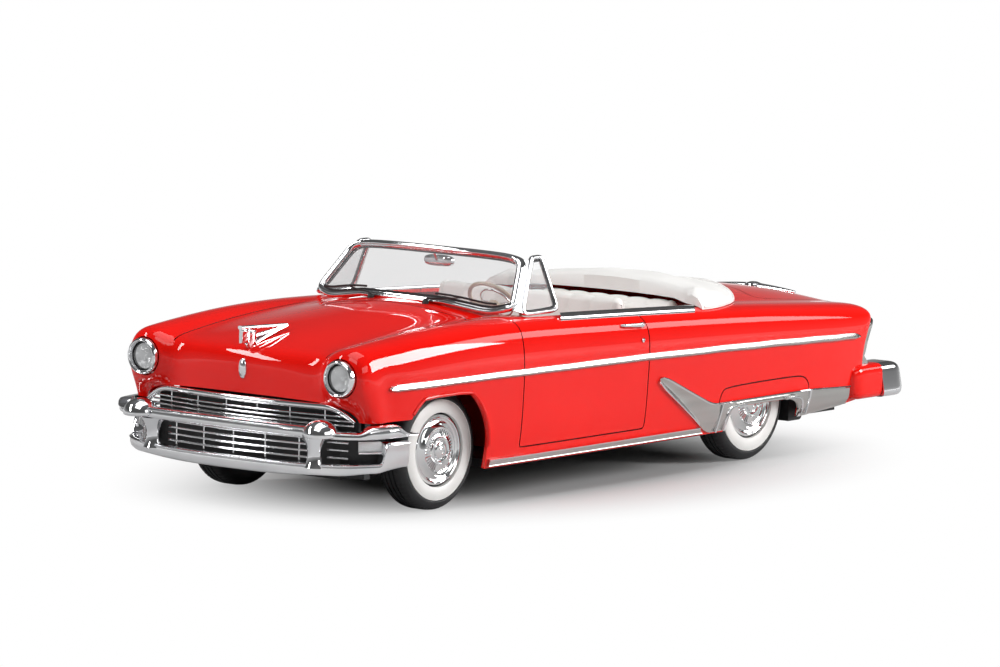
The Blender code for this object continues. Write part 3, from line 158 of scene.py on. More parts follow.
steelLook = {
    "dark": (0.38, 0.38, 0.39), "light": (0.58, 0.58, 0.58), "mottle": 500.0, "rough": (0.25, 0.42),
    "sockets": {"Metallic": 1.0},
}
tyreLook = {
    "dark": (0.010, 0.010, 0.011), "light": (0.022, 0.022, 0.024), "mottle": 420.0, "rough": (0.50, 0.66),
    "grain": ("noise", 2600.0, 0.25, 0.00012),
}
whiteRubberLook = {
    "dark": (0.74, 0.73, 0.71), "light": (0.82, 0.81, 0.79), "mottle": 300.0, "rough": (0.34, 0.46),
    "grain": ("noise", 2400.0, 0.10, 0.00008),
}
seatLook = {
    "dark": (0.84, 0.83, 0.80), "light": (0.89, 0.88, 0.85), "mottle": 220.0, "rough": (0.36, 0.50),
    "grain": ("cells", 2600.0, 0.16, 0.00010),
}
bootLook = {
    "dark": (0.84, 0.83, 0.81), "light": (0.89, 0.88, 0.86), "mottle": 160.0, "rough": (0.44, 0.58),
    "grain": ("cells", 3000.0, 0.14, 0.00008),
}
creamLook = {
    "dark": (0.62, 0.50, 0.36), "light": (0.74, 0.63, 0.48), "mottle": 260.0, "rough": (0.24, 0.36),
    "grain": ("noise", 1800.0, 0.06, 0.00006),
}
cabinLook = {
    "dark": (0.44, 0.010, 0.008), "light": (0.54, 0.014, 0.010), "mottle": 200.0, "rough": (0.30, 0.46),
    "grain": ("cells", 2400.0, 0.18, 0.00010),
}
baseLook = {
    "dark": (0.010, 0.010, 0.011), "light": (0.020, 0.020, 0.021), "mottle": 300.0, "rough": (0.42, 0.60),
    "grain": ("noise", 1500.0, 0.30, 0.00012),
}
rubberLook = {
    "dark": (0.008, 0.008, 0.009), "light": (0.016, 0.016, 0.017), "mottle": 500.0, "rough": (0.45, 0.60),
}
# a darker red for the walls of the panel-line grooves: painted shade in the gaps
gapShadeLook = {
    "dark": (0.110, 0.006, 0.004), "light": (0.150, 0.008, 0.005), "mottle": 400.0, "rough": (0.55, 0.70),
}
glassLook = {
    "dark": (0.40, 0.41, 0.42), "light": (0.46, 0.47, 0.48), "mottle": 90.0, "rough": (0.0, 0.02),
    "sockets": {"Alpha": 0.18, "Specular IOR Level": 1.0},
}
lampLook = {
    "dark": (0.80, 0.82, 0.83), "light": (0.88, 0.89, 0.90), "mottle": 160.0, "rough": (0.02, 0.06),
    "grain": ("ribs", 900.0, 0.25, 0.00012), "sockets": {"Alpha": 0.18, "Specular IOR Level": 1.0},
}
redLampLook = {
    "dark": (0.46, 0.004, 0.004), "light": (0.62, 0.008, 0.006), "mottle": 260.0, "rough": (0.06, 0.14),
    "sockets": {"Transmission Weight": 0.35, "Coat Weight": 0.6, "Coat Roughness": 0.03},
}
dialLook = {
    "dark": (0.030, 0.030, 0.032), "light": (0.050, 0.050, 0.052), "mottle": 300.0, "rough": (0.30, 0.40),
}

enamel = makeFinish("red_enamel", enamelLook)
plate = makeFinish("bright_plate", plateLook)
capPlate = makeFinish("hubcap_plate", capLook)
foil = makeFinish("satin_foil_face", foilLook)
reflector = makeFinish("lamp_reflector", reflectorLook)
steel = makeFinish("turned_steel", steelLook)
tyreRubber = makeFinish("black_tyre", tyreLook)
whiteRubber = makeFinish("white_sidewall", whiteRubberLook)
seatSkin = makeFinish("white_upholstery", seatLook)
bootSkin = makeFinish("white_boot_cover", bootLook)
cream = makeFinish("cream_rim", creamLook)
cabinRed = makeFinish("red_cabin_grain", cabinLook)
basePlastic = makeFinish("black_base_grain", baseLook)
rubber = makeFinish("black_gasket", rubberLook)
panelGapShade = makeFinish("panel_gap_shade", gapShadeLook)
glazing = makeFinish("clear_glazing_sheet", glassLook)
lampGlass = makeFinish("ribbed_lamp_glass", lampLook)
redLamp = makeFinish("red_lamp_lens", redLampLook)
dialBlack = makeFinish("dial_face", dialLook)
print("finishes: %d" % len(bpy.data.materials))


def loft(rings, closed=False):
    bm = bmesh.new()
    rows = [[bm.verts.new(point) for point in ring] for ring in rings]
    pairs = list(zip(rows, rows[1:]))
    if closed:
        pairs.append((rows[-1], rows[0]))
    count = len(rows[0])
    for row, nextRow in pairs:
        for i in range(count):
            k = (i + 1) % count
            bm.faces.new((row[i], row[k], nextRow[k], nextRow[i]))
    if not closed:
        bm.faces.new(rows[0][::-1])
        bm.faces.new(rows[-1])
    bmesh.ops.recalc_face_normals(bm, faces=bm.faces)
    return bm


def mixed(*parts):
    whole = bmesh.new()
    for part in parts:
        mesh = bpy.data.meshes.new("part")
        part.to_mesh(mesh)
        part.free()
        whole.from_mesh(mesh)
        bpy.data.meshes.remove(mesh)
    return whole


def flipped(bm):
    # the same piece on the other side of the car
    bm.transform(Matrix.Scale(-1, 4, xAxis))
    bmesh.ops.reverse_faces(bm, faces=bm.faces)
    return bm


def sided(bm, side):
    return flipped(bm) if side < 0 else bm


def shares(steps):
    # even steps from 0 to 1
    return [i / steps for i in range(steps + 1)]


def spans(steps):
    # even steps from -1 to 1
    return [-1 + 2 * i / steps for i in range(steps + 1)]


def ovalRing(centre, across, over, halfAcross, halfOver, power=2.0, count=12):
    ring = []
    for k in range(count):
        turn = 2 * math.pi * (k + 0.5) / count
        c, s = math.cos(turn), math.sin(turn)
        a = math.copysign(abs(c) ** (2 / power), c) * halfAcross
        b = math.copysign(abs(s) ** (2 / power), s) * halfOver
        ring.append(centre + across * a + over * b)
    return ring


def sweep(path, halfAcross, halfOver=None, power=2.0, count=12, up=zAxis, closed=False):
    # a bar along a path; a half size may be a list with one value for each point
    points = [Vector(point) for point in path]
    last = len(points) - 1
    halfOver = halfAcross if halfOver is None else halfOver
    rings = []
    for i, point in enumerate(points):
        before = points[i - 1] if i or closed else point
        after = points[(i + 1) % len(points)] if i < last or closed else point
        along = (after - before).normalized()
        across = along.cross(up).normalized()
        over = across.cross(along)
        a = halfAcross[i] if isinstance(halfAcross, (list, tuple)) else halfAcross
        b = halfOver[i] if isinstance(halfOver, (list, tuple)) else halfOver
        rings.append(ovalRing(point, across, over, a, b, power, count))
    return loft(rings, closed)


def turned(profileAt, steps, centre, axis="X", side=1):
    # a closed profile of (radius, along) pairs carried round an axis; it may change with the step
    rings = []
    for i in range(steps):
        angle = 2 * math.pi * i / steps
        c, s = math.cos(angle), math.sin(angle)
        ring = []
        for radius, along in (profileAt(i) if callable(profileAt) else profileAt):
            radius = max(radius, pinRadius)
            places = {
                "X": (side * along, radius * c, radius * s),
                "Y": (radius * c, along, radius * s),
                "Z": (radius * c, radius * s, along),
            }
            ring.append(Vector(centre) + Vector(places[axis]))
        rings.append(ring)
    return loft(rings, closed=True)


def smoothLine(points, rounds=3, closed=False):
    # cuts the corners of a line of points, so that it runs in a smooth curve
    line = [Vector(point) for point in points]
    for _ in range(rounds):
        cut = [] if closed else [line[0]]
        pairs = list(zip(line, line[1:])) + ([(line[-1], line[0])] if closed else [])
        for a, b in pairs:
            cut += [a.lerp(b, 0.25), a.lerp(b, 0.75)]
        line = cut if closed else cut + [line[-1]]
    return line


def evenLine(points, spacing):
    line = [Vector(point) for point in points]
    lengths = [0.0]
    for a, b in zip(line, line[1:]):
        lengths.append(lengths[-1] + (b - a).length)
    count = max(2, int(lengths[-1] / spacing))
    out, k = [], 0
    for i in range(count + 1):
        want = lengths[-1] * i / count
        while k < len(line) - 2 and lengths[k + 1] < want:
            k += 1
        gap = lengths[k + 1] - lengths[k]
        out.append(line[k].lerp(line[k + 1], (want - lengths[k]) / gap if gap else 0.0))
    return out


def blend(stops, where):
    if where <= stops[0][0]:
        return stops[0][1]
    for (a, low), (b, high) in zip(stops, stops[1:]):
        if where <= b:
            t = (where - a) / (b - a)
            return low + (high - low) * t * t * (3 - 2 * t)
    return stops[-1][1]


def arcLine(centre, radius, start, end, steps):
    turns = [math.radians(start + (end - start) * i / steps) for i in range(steps + 1)]
    return [(centre[0] + radius * math.cos(t), centre[1] + radius * math.sin(t)) for t in turns]


def meshObject(name, bm, finish=None, angle=softCrease):
    bm.transform(Matrix.Scale(mm, 4))
    mesh = bpy.data.meshes.new(name)
    bm.to_mesh(mesh)
    bm.free()
    mesh.shade_smooth()
    mesh.set_sharp_from_angle(angle=math.radians(angle))
    if finish:
        mesh.materials.append(finish)
    piece = bpy.data.objects.new(name, mesh)
    scene.collection.objects.link(piece)
    return piece


def addPiece(name, bm, finish, stands=(), body="car", angle=softCrease):
    piece = meshObject(name, bm, finish, angle)
    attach(piece, body)
    if stands:
        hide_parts(*stands)
    return piece


def coverNode(name, finish):
    # a solid that shows as it is takes a finish of this script
    mesh = frame["nodes"][name].data
    mesh.materials.clear()
    mesh.materials.append(finish)


def cutWith(target, cutter, operation="DIFFERENCE"):
    step = target.modifiers.new(cutter.name, "BOOLEAN")
    step.object = cutter
    step.operation = operation
    step.solver = "EXACT"
    step.material_mode = "TRANSFER"


def settle(piece, *cutters):
    # keeps the result of the modifiers and drops the cutters
    graph = bpy.context.evaluated_depsgraph_get()
    mesh = bpy.data.meshes.new_from_object(piece.evaluated_get(graph))
    piece.modifiers.clear()
    piece.data = mesh
    for cutter in cutters:
        bpy.data.objects.remove(cutter)
    return piece


bodyForm = {
    "wall": 0.5,
    "fine": 3,  # rounds of subdivision
    # from the axle, then centre line, valley and crest over the belt, side drawn in, spear rise, lean
    "frontStations": (
        (-17.0, -1.9, -2.3, -0.8, 0.8, 0.1, 3.6),
        (-12.5, -0.9, -1.8, -0.4, 0.3, 0.1, 2.0),
        (-7.0, 0.0, -1.1, 0.1, 0.1, 0.1, 0.6),
        (0.0, 0.8, -0.5, 0.6, 0.0, 0.1, 0.0),
        (8.0, 1.6, 0.0, 0.8, 0.0, 0.1, 0.0),
        (16.0, 2.1, 0.3, 0.7, 0.0, 0.0, 0.0),
        (27.0, 2.2, 0.4, 0.3, 0.0, -0.1, 0.0),
        (41.0, 1.7, 0.1, -0.3, 0.0, -0.2, 0.0),
    ),
    "rearStations": (
        (-14.0, 0.8, -0.8, -1.1, 0.0, -0.5, 0.0),
        (0.0, -0.1, -1.5, -1.9, 0.0, -0.8, 0.0),
        (10.0, -0.7, -2.2, -2.6, 0.1, -1.1, 0.0),
        (18.5, -1.5, -3.0, -3.2, 0.3, -1.4, -0.2),
        (25.0, -2.4, -3.7, -3.7, 0.6, -1.6, -1.8),
        (28.0, -3.2, -4.2, -4.1, 0.8, -1.7, -3.0),
    ),
    "lean": (0.0, 0.0, 0.0, 0.0, 0.0, 0.15, 0.4, 0.7, 1.0, 1.0, 1.0),
    # end rows: drawn in, back from the nose or tail, height over the sill
    "nose": (
        ((0.0, 0.2, 10.4), (0.0, 0.3, 10.4), (0.9, 0.9, 10.2), (0.3, 1.1, 10.0), (1.2, 1.4, 9.5),
         (2.8, 1.8, 8.9), (3.1, 2.1, 8.0), (3.1, 2.3, 6.8), (2.9, 2.4, 5.2), (2.7, 2.5, 3.0),
         (1.9, 2.6, 0.6)),
        ((0.0, 0.0, 13.4), (0.0, 0.2, 13.3), (0.9, 1.1, 12.9), (1.4, -0.4, 11.8), (0.7, -1.0, 10.6),
         (0.6, -0.3, 11.6), (1.2, 0.7, 10.4), (1.3, 1.6, 8.8), (1.1, 2.3, 6.8), (0.9, 2.6, 3.3),
         (0.5, 2.8, 0.6)),
        ((0.0, 0.1, 16.4), (0.0, 0.3, 16.3), (0.7, 1.4, 15.6), (1.4, -0.4, 16.6), (0.7, -1.1, 18.2),
         (0.4, -0.3, 16.7), (0.6, 1.2, 14.4), (0.6, 2.8, 12.0), (0.4, 3.9, 8.4), (0.3, 4.4, 3.4),
         (0.1, 4.6, 0.4)),
    ),
    "tail": (
        ((0.0, 0.5, 14.8), (0.0, 0.4, 14.5), (0.0, 0.1, 13.9), (-0.3, 0.3, 13.9), (0.0, 0.4, 14.1),
         (0.6, -0.3, 13.6), (1.1, -1.4, 12.4), (1.1, -3.0, 10.4), (0.9, -4.0, 7.6), (0.9, -3.1, 4.0),
         (0.6, -3.2, 1.0)),
        ((0.0, 0.1, 11.5), (0.0, 0.0, 11.3), (0.0, -0.6, 11.0), (-0.5, -0.6, 11.0), (0.4, -0.8, 10.8),
         (1.8, -1.3, 10.4), (2.4, -2.3, 9.6), (2.6, -3.2, 8.4), (2.6, -3.9, 6.6), (2.6, -2.8, 3.6),
         (2.2, -2.2, 1.1)),
        ((0.0, -0.6, 6.4), (0.0, -0.8, 6.4), (0.3, -1.6, 6.4), (0.3, -2.0, 6.3), (1.7, -2.3, 6.2),
         (3.9, -2.6, 5.9), (4.5, -2.9, 5.2), (4.6, -3.1, 4.3), (4.4, -3.1, 3.4), (4.3, -2.4, 2.2),
         (3.7, -1.8, 1.1)),
    ),
    "sillLip": 0.7, "tailKick": 0.056,  # the sill hangs under its line and rises behind the rear axle
    "archRadius": 9.3, "archLead": 1.6, "archRise": 8.0, "skirtRise": 0.3,
    "lampX": halfWidth - 4.7, "lampZ": 20.0, "lampBore": 2.75, "boreEnds": (-6.0, 3.0),
    "lipZ": 13.55, "wingZ": 13.85,
    "gapWidth": 0.2, "gapDepth": 0.34, "gapOver": 0.5, "gapStep": 0.5, "crease": 32,
    "rayStart": {"side": 60, "top": 80, "end": 120},  # well outside the car
}


def bodyColumns(side):
    over = (0.0, 0.5 * valleyX, valleyX, crestX - 2.7, crestX)
    return over + (side - 1.0, side - 0.1, side + 0.1, side - 0.1, side - 0.3, side - 1.1)


def bodyEnd(row, end):
    places = zip(bodyColumns(halfWidth), row)
    return [(x - drawn, end + back, sillZ + rise) for x, (drawn, back, rise) in places]


def bodySection(axleY, offset, centre, valley, crest, inset, spear, lean):
    middle, low, top = beltZ + centre, beltZ + valley, beltZ + crest
    line = spearZ + spear
    sill = sillZ - bodyForm["sillLip"] + bodyForm["tailKick"] * max(0.0, axleY + offset - rearY)
    heights = (
        middle, middle - 0.22 * (middle - low), low, 0.25 * low + 0.75 * top, top + 0.1, top - 0.6,
        0.5 * (top + line) + 0.3, line, 0.5 * (line + sillZ) + 1.5, sillZ + 3.2, sill,
    )
    places = zip(bodyColumns(halfWidth - inset), heights, bodyForm["lean"])
    return [(x, axleY + offset + lean * share, z) for x, z, share in places]


def bodySkin():
    rows = [bodyEnd(row, noseY) for row in bodyForm["nose"]]
    rows += [bodySection(frontY, *station) for station in bodyForm["frontStations"]]
    rows += [bodySection(rearY, *station) for station in bodyForm["rearStations"]]
    rows += [bodyEnd(row, tailY) for row in bodyForm["tail"]]
    bm = bmesh.new()
    verts = [[bm.verts.new(point) for point in row] for row in rows]
    for row, nextRow in zip(verts, verts[1:]):
        for i in range(len(row) - 1):
            bm.faces.new((row[i], row[i + 1], nextRow[i + 1], nextRow[i]))
    shell = meshObject("paintedBody", bm, enamel, noCrease)
    mirror = shell.modifiers.new("mirror", "MIRROR")
    mirror.merge_threshold = 0.0001
    smooth = shell.modifiers.new("smooth", "SUBSURF")
    smooth.levels = bodyForm["fine"]
    smooth.render_levels = bodyForm["fine"]
    return settle(shell)


paintedBody = bodySkin()
skinTree = BVHTree.FromPolygons(
    [vertex.co / mm for vertex in paintedBody.data.vertices],
    [list(face.vertices) for face in paintedBody.data.polygons],
)


def meetSkin(start, heading):
    place, normal, _, _ = skinTree.ray_cast(Vector(start), heading)
    if place is None:
        return None
    return place, -normal if normal.dot(heading) > 0 else normal


def onSide(y, z):
    return meetSkin((bodyForm["rayStart"]["side"], y, z), -xAxis)


def onTop(x, y):
    return meetSkin((x, y, bodyForm["rayStart"]["top"]), -zAxis)


def onNose(x, z):
    return meetSkin((x, -bodyForm["rayStart"]["end"], z), yAxis)


def onTail(x, z):
    return meetSkin((x, bodyForm["rayStart"]["end"], z), -yAxis)


def archLine(y, rise, steps=48):
    radius = bodyForm["archRadius"]
    half = math.sqrt(radius ** 2 - rise ** 2)
    line = [p for p in arcLine((y, axleZ), radius, 0, 180, steps) if p[1] < axleZ + rise - 0.02]
    behind = [p for p in line if p[0] > y]
    ahead = [p for p in line if p[0] < y]
    return behind + [(y + half, axleZ + rise), (y - half, axleZ + rise)] + ahead


def sidePrism(outline, low, high):
    return loft([[(low, y, z) for y, z in outline], [(high, y, z) for y, z in outline]])


def panelCut(hits):
    # a narrow slot that follows points on the skin
    width, depth, clear = 0.5 * bodyForm["gapWidth"], bodyForm["gapDepth"], bodyForm["gapOver"]
    rings = []
    for i, (place, normal) in enumerate(hits):
        along = hits[min(i + 1, len(hits) - 1)][0] - hits[max(i - 1, 0)][0]
        across = along.cross(normal).normalized() * width
        rings.append([
            place + across + normal * clear, place - across + normal * clear,
            place - across - normal * depth, place + across - normal * depth,
        ])
    return loft(rings)


def cabinCurve(along, half, start, end):
    turn = math.pi * along
    return Vector((half * math.cos(turn), start + (end - start) * max(0.0, math.sin(turn)) ** 1.5))


panelLines = {
    # (y, z) from the side
    "door": ((cowlY - 0.1, 25.3), (cowlY - 0.1, 14.4), (cowlY - 0.3, 8.4), (cowlY - 0.2, 7.7),
             (cowlY + 0.6, 7.65), (rearY - 29.8, 7.65), (rearY - 29.1, 7.7), (rearY - 29.0, 8.4),
             (rearY - 28.9, 13.6), (rearY - 28.7, 19.0), (rearY - 28.6, 21.6), (rearY - 29.1, 23.6),
             (rearY - 30.2, 25.3)),
    "skirt": ((rearY - 11.4, 9.2), (rearY - 11.2, 10.2), (rearY - 10.7, 11.4), (rearY - 9.8, 11.9),
              (rearY - 1.8, 12.1), (rearY + 7.8, 12.1), (rearY + 9.8, 11.8), (rearY + 11.0, 10.7),
              (rearY + 11.2, 9.2)),
    # (x, y) from above
    "hood": ((13.9, noseY + 1.4), (14.1, noseY + 6.0), (14.5, frontY - 4.0), (14.9, cowlY - 6.0),
             (14.6, cowlY - 2.6), (11.0, cowlY - 3.0), (0.0, cowlY - 3.6)),
    "trunk": ((0.0, cockpitRearY + 5.4), (8.0, cockpitRearY + 3.4), (13.6, cockpitRearY - 0.6),
              (14.6, rearY + 12.0), (14.4, tailY - 0.9)),
    # (x, z) from behind
    "trunkFace": ((14.4, 19.6), (14.3, 17.0), (13.6, 15.7), (12.0, 15.3), (0.0, 15.3)),
}


def panelCutters():
    cutters = []
    for name in ("door", "skirt"):
        line = evenLine(smoothLine([Vector((y, z, 0)) for y, z in panelLines[name]]), bodyForm["gapStep"])
        hits = [hit for hit in (onSide(p.x, p.y) for p in line) if hit]
        cutters += [panelCut(hits), flipped(panelCut(hits))]
    for name, meet in (("hood", onTop), ("trunk", onTop), ("trunkFace", onTail)):
        line = [Vector((a, b, 0)) for a, b in panelLines[name]]
        if name == "trunk":  # one line over both halves
            line = [Vector((-p.x, p.y, 0)) for p in line[:0:-1]] + line
        else:
            line = line + [Vector((-p.x, p.y, 0)) for p in line[-2::-1]]
        hits = [meet(p.x, p.y) for p in evenLine(smoothLine(line), bodyForm["gapStep"])]
        cutters.append(panelCut(hits))
    return cutters


podForm = {"front": rearY + 22.2, "rear": tailY - 0.3, "nose": 2.2, "round": 1.1, "noseSteps": 8, "steps": 12}


def podShape():
    # the rounded pod ahead of each end of the rear bumper
    front, nose = podForm["front"], podForm["nose"]
    back = podForm["rear"] - front - nose
    rings = []
    for i in range(podForm["steps"] + 1):
        share = i / podForm["noseSteps"]  # 1 where the rounded nose ends
        shrink = podForm["round"] * (1 - math.sqrt(max(0.0, 1 - (1 - min(share, 1.0)) ** 2)))
        y = front + nose * share if share <= 1 else front + nose + back * (share - 1) / 0.5
        low, high = sillZ + 1.0 + shrink, sillZ + 6.2 - shrink
        inner, outer = halfWidth - 5.0, halfWidth + 0.1 - shrink
        middle = Vector((0.5 * (inner + outer), y, 0.5 * (low + high)))
        rings.append(ovalRing(middle, xAxis, zAxis, 0.5 * (outer - inner), 0.5 * (high - low), 5.0, 28))
    return loft(rings)


def finishBody():
    shell = paintedBody
    wall = shell.modifiers.new("wall", "SOLIDIFY")
    wall.thickness = bodyForm["wall"] * mm
    wall.offset = -1.0
    reach = halfWidth + 4
    cutters = []

    def cut(name, bm, operation="DIFFERENCE", finish=None):
        cutter = meshObject(name, bm, finish)
        cutWith(shell, cutter, operation)
        cutters.append(cutter)

    cut("pods", mixed(podShape(), flipped(podShape())), "UNION", enamel)
    arches = []
    for y, rise in ((frontY - bodyForm["archLead"], bodyForm["archRise"]), (rearY, bodyForm["skirtRise"])):
        line = archLine(y, rise)
        radius = bodyForm["archRadius"]
        arches.append(sidePrism([(y + radius, -1.0)] + line + [(y - radius, -1.0)], -reach, reach))
    cut("arches", mixed(*arches), finish=enamel)
    front, back = bumperY - 4.0, frontY - bodyForm["archLead"]
    lip, wing = bodyForm["lipZ"], bodyForm["wingZ"]
    room = [(front, 0.0), (back, 0.0), (back, wing), (noseY + 1.9, wing), (noseY + 0.9, lip), (front, lip)]
    cut("bumperRoom", sidePrism(room, -reach, reach), finish=enamel)
    edge = [cabinCurve(share, cockpitHalf, cockpitBendY, cockpitRearY) for share in shares(48)]
    plan = [(-cockpitHalf, cockpitFrontY), (cockpitHalf, cockpitFrontY)] + [(p.x, p.y) for p in edge]
    cut("cockpit", loft([[(x, y, z) for x, y in plan] for z in (sillZ + 10, beltZ + 20)]), finish=enamel)
    bores, bore = [], bodyForm["lampBore"]
    for _, side in sides:
        x, z = side * bodyForm["lampX"], bodyForm["lampZ"]
        ends = [Vector((x, noseY + along, z)) for along in bodyForm["boreEnds"]]
        bores.append(loft([ovalRing(end, xAxis, zAxis, bore, bore, count=48) for end in ends]))
    cut("lampBores", mixed(*bores), finish=enamel)
    # the groove walls take the darker red finish, painted shade in the panel lines
    for i, bm in enumerate(panelCutters()):
        cut("panelGapShade%d" % i, bm, finish=panelGapShade)
    settle(shell, *cutters)
    shell.data.shade_smooth()
    shell.data.set_sharp_from_angle(angle=math.radians(bodyForm["crease"]))
    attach(shell, "car")
    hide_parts("body_shell")


finishBody()
print("body shell: %d faces" % len(paintedBody.data.polygons))


def sideStrip(upper, lower, profiles, bright=()):
    # a moulding laid on the body side; a profile gives (share of the width from below, height over the skin)
    # and bright lists, for each ring, the places of the profile whose faces take the second finish
    rings = []
    for (yu, zu), (yl, zl), profile in zip(upper, lower, profiles):
        over, under = [], []
        for share, height in profile:
            y, z = yl + (yu - yl) * share, zl + (zu - zl) * share
            hit = onSide(y, z)
            while hit is None:  # the lower edge stops where the skin ends
                z += trimForm["creep"]
                hit = onSide(y, z)
            over.append((hit[0].x + height, y, z))
            under.append((hit[0].x - trimForm["sunk"], y, z))
        rings.append(over + under[::-1])
    bm = loft(rings)
    bm.faces.ensure_lookup_table()
    for face in bm.faces:
        row, place = divmod(face.index, len(rings[0]))
        if row < len(rings) - 1 and bright and place in bright[row]:
            face.material_index = 1
    return bm


def spearHeight(y):
    stops = [(frontY + station[0], station[5]) for station in bodyForm["frontStations"]]
    stops += [(rearY + station[0], station[5]) for station in bodyForm["rearStations"]]
    return spearZ + blend(stops, y)


trimForm = {
    "low": sillZ - bodyForm["sillLip"] + 0.15, "bandTop": sillZ + 3.95, "rim": 0.4,
    "sunk": 0.12, "creep": 0.04,  # depth under the skin, and the steps back up to where the skin ends
    "tipY": rearY - 26.5, "tipRise": 4.7, "footY": rearY - bodyForm["archRadius"] - 4.4,
    "panelRear": rearY + 21.8, "lowerRim": (0, 1, 2), "upperRim": (9, 10, 11),
    "spearFront": noseY + 5.2, "spearRear": tailY - 5.7, "spearSteps": 120,
    "spearProfile": ((0.0, 0.02), (0.04, 0.2), (0.3, 0.48), (0.38, 0.52), (0.46, 0.5), (0.92, 0.28),
                     (1.0, 0.02)),
    "rockerFront": frontY - bodyForm["archLead"] + bodyForm["archRadius"] + 0.6, "rockerTop": sillZ + 0.65,
    "rockerSlant": 1.4, "rockerSteps": 60, "rockerBright": (4, 5, 6), "beltSteps": 60,
    "rockerProfile": ((0.0, 0.02), (0.05, 0.36), (0.12, 0.42), (0.2, 0.36), (0.66, 0.4), (0.72, 0.56),
                      (0.88, 0.6), (1.0, 0.05)),
    # heights over the skin between the rims: a trough down the dagger, a folded sheet behind it
    "trough": ((0.0, 0.34), (0.15, 0.22), (0.35, 0.15), (0.5, 0.14), (0.65, 0.16), (0.85, 0.24), (1.0, 0.34)),
    "fold": ((0.0, 0.2), (0.15, 0.3), (0.35, 0.42), (0.44, 0.47), (0.52, 0.46), (0.85, 0.38), (1.0, 0.36)),
}


def spearStrip():
    front, rear = trimForm["spearFront"], trimForm["spearRear"]
    swell = ((front, 0.15), (front + 0.35, 0.36), (front + 1.8, 0.56), (rear - 1.4, 0.6), (rear - 0.4, 0.36),
             (rear, 0.12))
    upper, lower = [], []
    for share in shares(trimForm["spearSteps"]):
        y = front + (rear - front) * share * share * (3 - 2 * share)
        half = blend(swell, y)
        upper.append((y, spearHeight(y) + half))
        lower.append((y, spearHeight(y) - half))
    return sideStrip(upper, lower, [trimForm["spearProfile"]] * len(upper))


def rockerStrip():
    front, rear, steps = trimForm["rockerFront"], trimForm["footY"] - 0.9, trimForm["rockerSteps"]
    long, short = rear - front, rear - trimForm["rockerSlant"] - front
    upper = [(front + short * share, trimForm["rockerTop"]) for share in shares(steps)]
    lower = [(front + long * share, trimForm["low"]) for share in shares(steps)]
    profiles, bright = [trimForm["rockerProfile"]] * len(upper), [trimForm["rockerBright"]] * len(upper)
    return sideStrip(upper, lower, profiles, bright)


def quarterLine():
    # rows of upper y and z, lower y and z, and how far the section has gone over from trough to fold
    low, band, tipY, foot = (trimForm[key] for key in ("low", "bandTop", "tipY", "footY"))
    tipZ, rear = band + trimForm["tipRise"], trimForm["panelRear"]
    opening, closing = rearY - bodyForm["archRadius"], rearY + bodyForm["archRadius"]
    run, drop, fall = foot - tipY, tipZ - band, tipZ - 1.5 - low
    rows = [(tipY + 0.7, tipZ + 0.3, tipY, tipZ - 0.4, 0),
            (tipY + 2.0, tipZ + 0.1, tipY + 0.9, tipZ - 1.5, 0)]
    for share in (0.4, 0.7, 1.0):
        rows.append((tipY + 2.0 + (run - 1.6) * share, tipZ - drop * share,
                     tipY + 0.9 + (run - 0.9) * share, tipZ - 1.5 - fall * share, share ** 3))
    rows += [(opening - 1.2, band, opening - 2.2, low, 1), (opening + 0.6, band, opening + 0.35, low, 1),
             (opening + 1.8, band, opening + 0.6, band - 1.12, 1)]
    for share in (0.33, 0.67, 1.0):
        y = opening + 1.8 + (closing - opening - 5.0) * share
        rows.append((y, band, y, band - 1.12, 1))
    rows += [(closing - 2.0, band, closing - 1.0, sillZ + 2.0, 1),
             (closing - 0.8, band, closing - 0.2, sillZ + 0.9, 1),
             (closing + 0.6, band, closing - 0.4, sillZ - 0.4, 1),
             (closing + 2.4, band, closing + 2.2, sillZ - 0.3, 1),
             (rear, band - 0.5, rear, sillZ + 0.3, 1)]
    return smoothLine(rows)


def quarterTrim():
    upper, lower, profiles, bright = [], [], [], []
    for yu, zu, yl, zl, fold in quarterLine():
        upper.append((yu, zu))
        lower.append((yl, zl))
        rim = min(0.28, trimForm["rim"] / math.hypot(yu - yl, zu - zl))
        profile = [(0.0, 0.02), (0.15 * rim, 0.42 - 0.2 * fold), (0.5 * rim, 0.54 - 0.3 * fold)]
        for (share, trough), (_, folded) in zip(trimForm["trough"], trimForm["fold"]):
            profile.append((rim + (1 - 2 * rim) * share, trough + (folded - trough) * fold))
        profile += [(1 - 0.5 * rim, 0.54), (1 - 0.15 * rim, 0.44), (1.0, 0.02)]
        profiles.append(profile)
        bright.append(trimForm["upperRim"] if fold > 0.6 else trimForm["lowerRim"] + trimForm["upperRim"])
    return sideStrip(upper, lower, profiles, bright)


def trimBeads():
    # raised joints where the skirt's own trim ends, and the rolled edge of the wheel opening
    low, band, arch = trimForm["low"], trimForm["bandTop"], bodyForm["archRadius"]
    edge = band - 1.0
    lines = [
        ((-11.8, low + 0.05), (-11.4, 7.4), (-10.9, band - 0.1)),
        ((10.5, low + 0.75), (10.9, 7.6), (11.1, band - 0.1)),
        ((-5.0, edge), (1.1 - arch, edge), (0.0 - arch, edge - 0.5), (-0.4 - arch, 7.2),
         (-0.5 - arch, low + 0.1)),
        ((5.0, edge), (arch - 1.2, edge), (arch - 0.1, edge - 0.5), (arch + 0.2, 7.4), (arch - 0.1, 6.4),
         (arch - 0.5, 5.9)),
    ]
    beads = []
    for line in lines:
        path = []
        for p in evenLine(smoothLine([Vector((y, z, 0)) for y, z in line]), 0.3):
            path.append((onSide(rearY + p.x, p.y)[0].x + 0.42, rearY + p.x, p.y))
        beads.append(sweep(path, 0.17, 0.26, up=xAxis))
    return mixed(*beads)


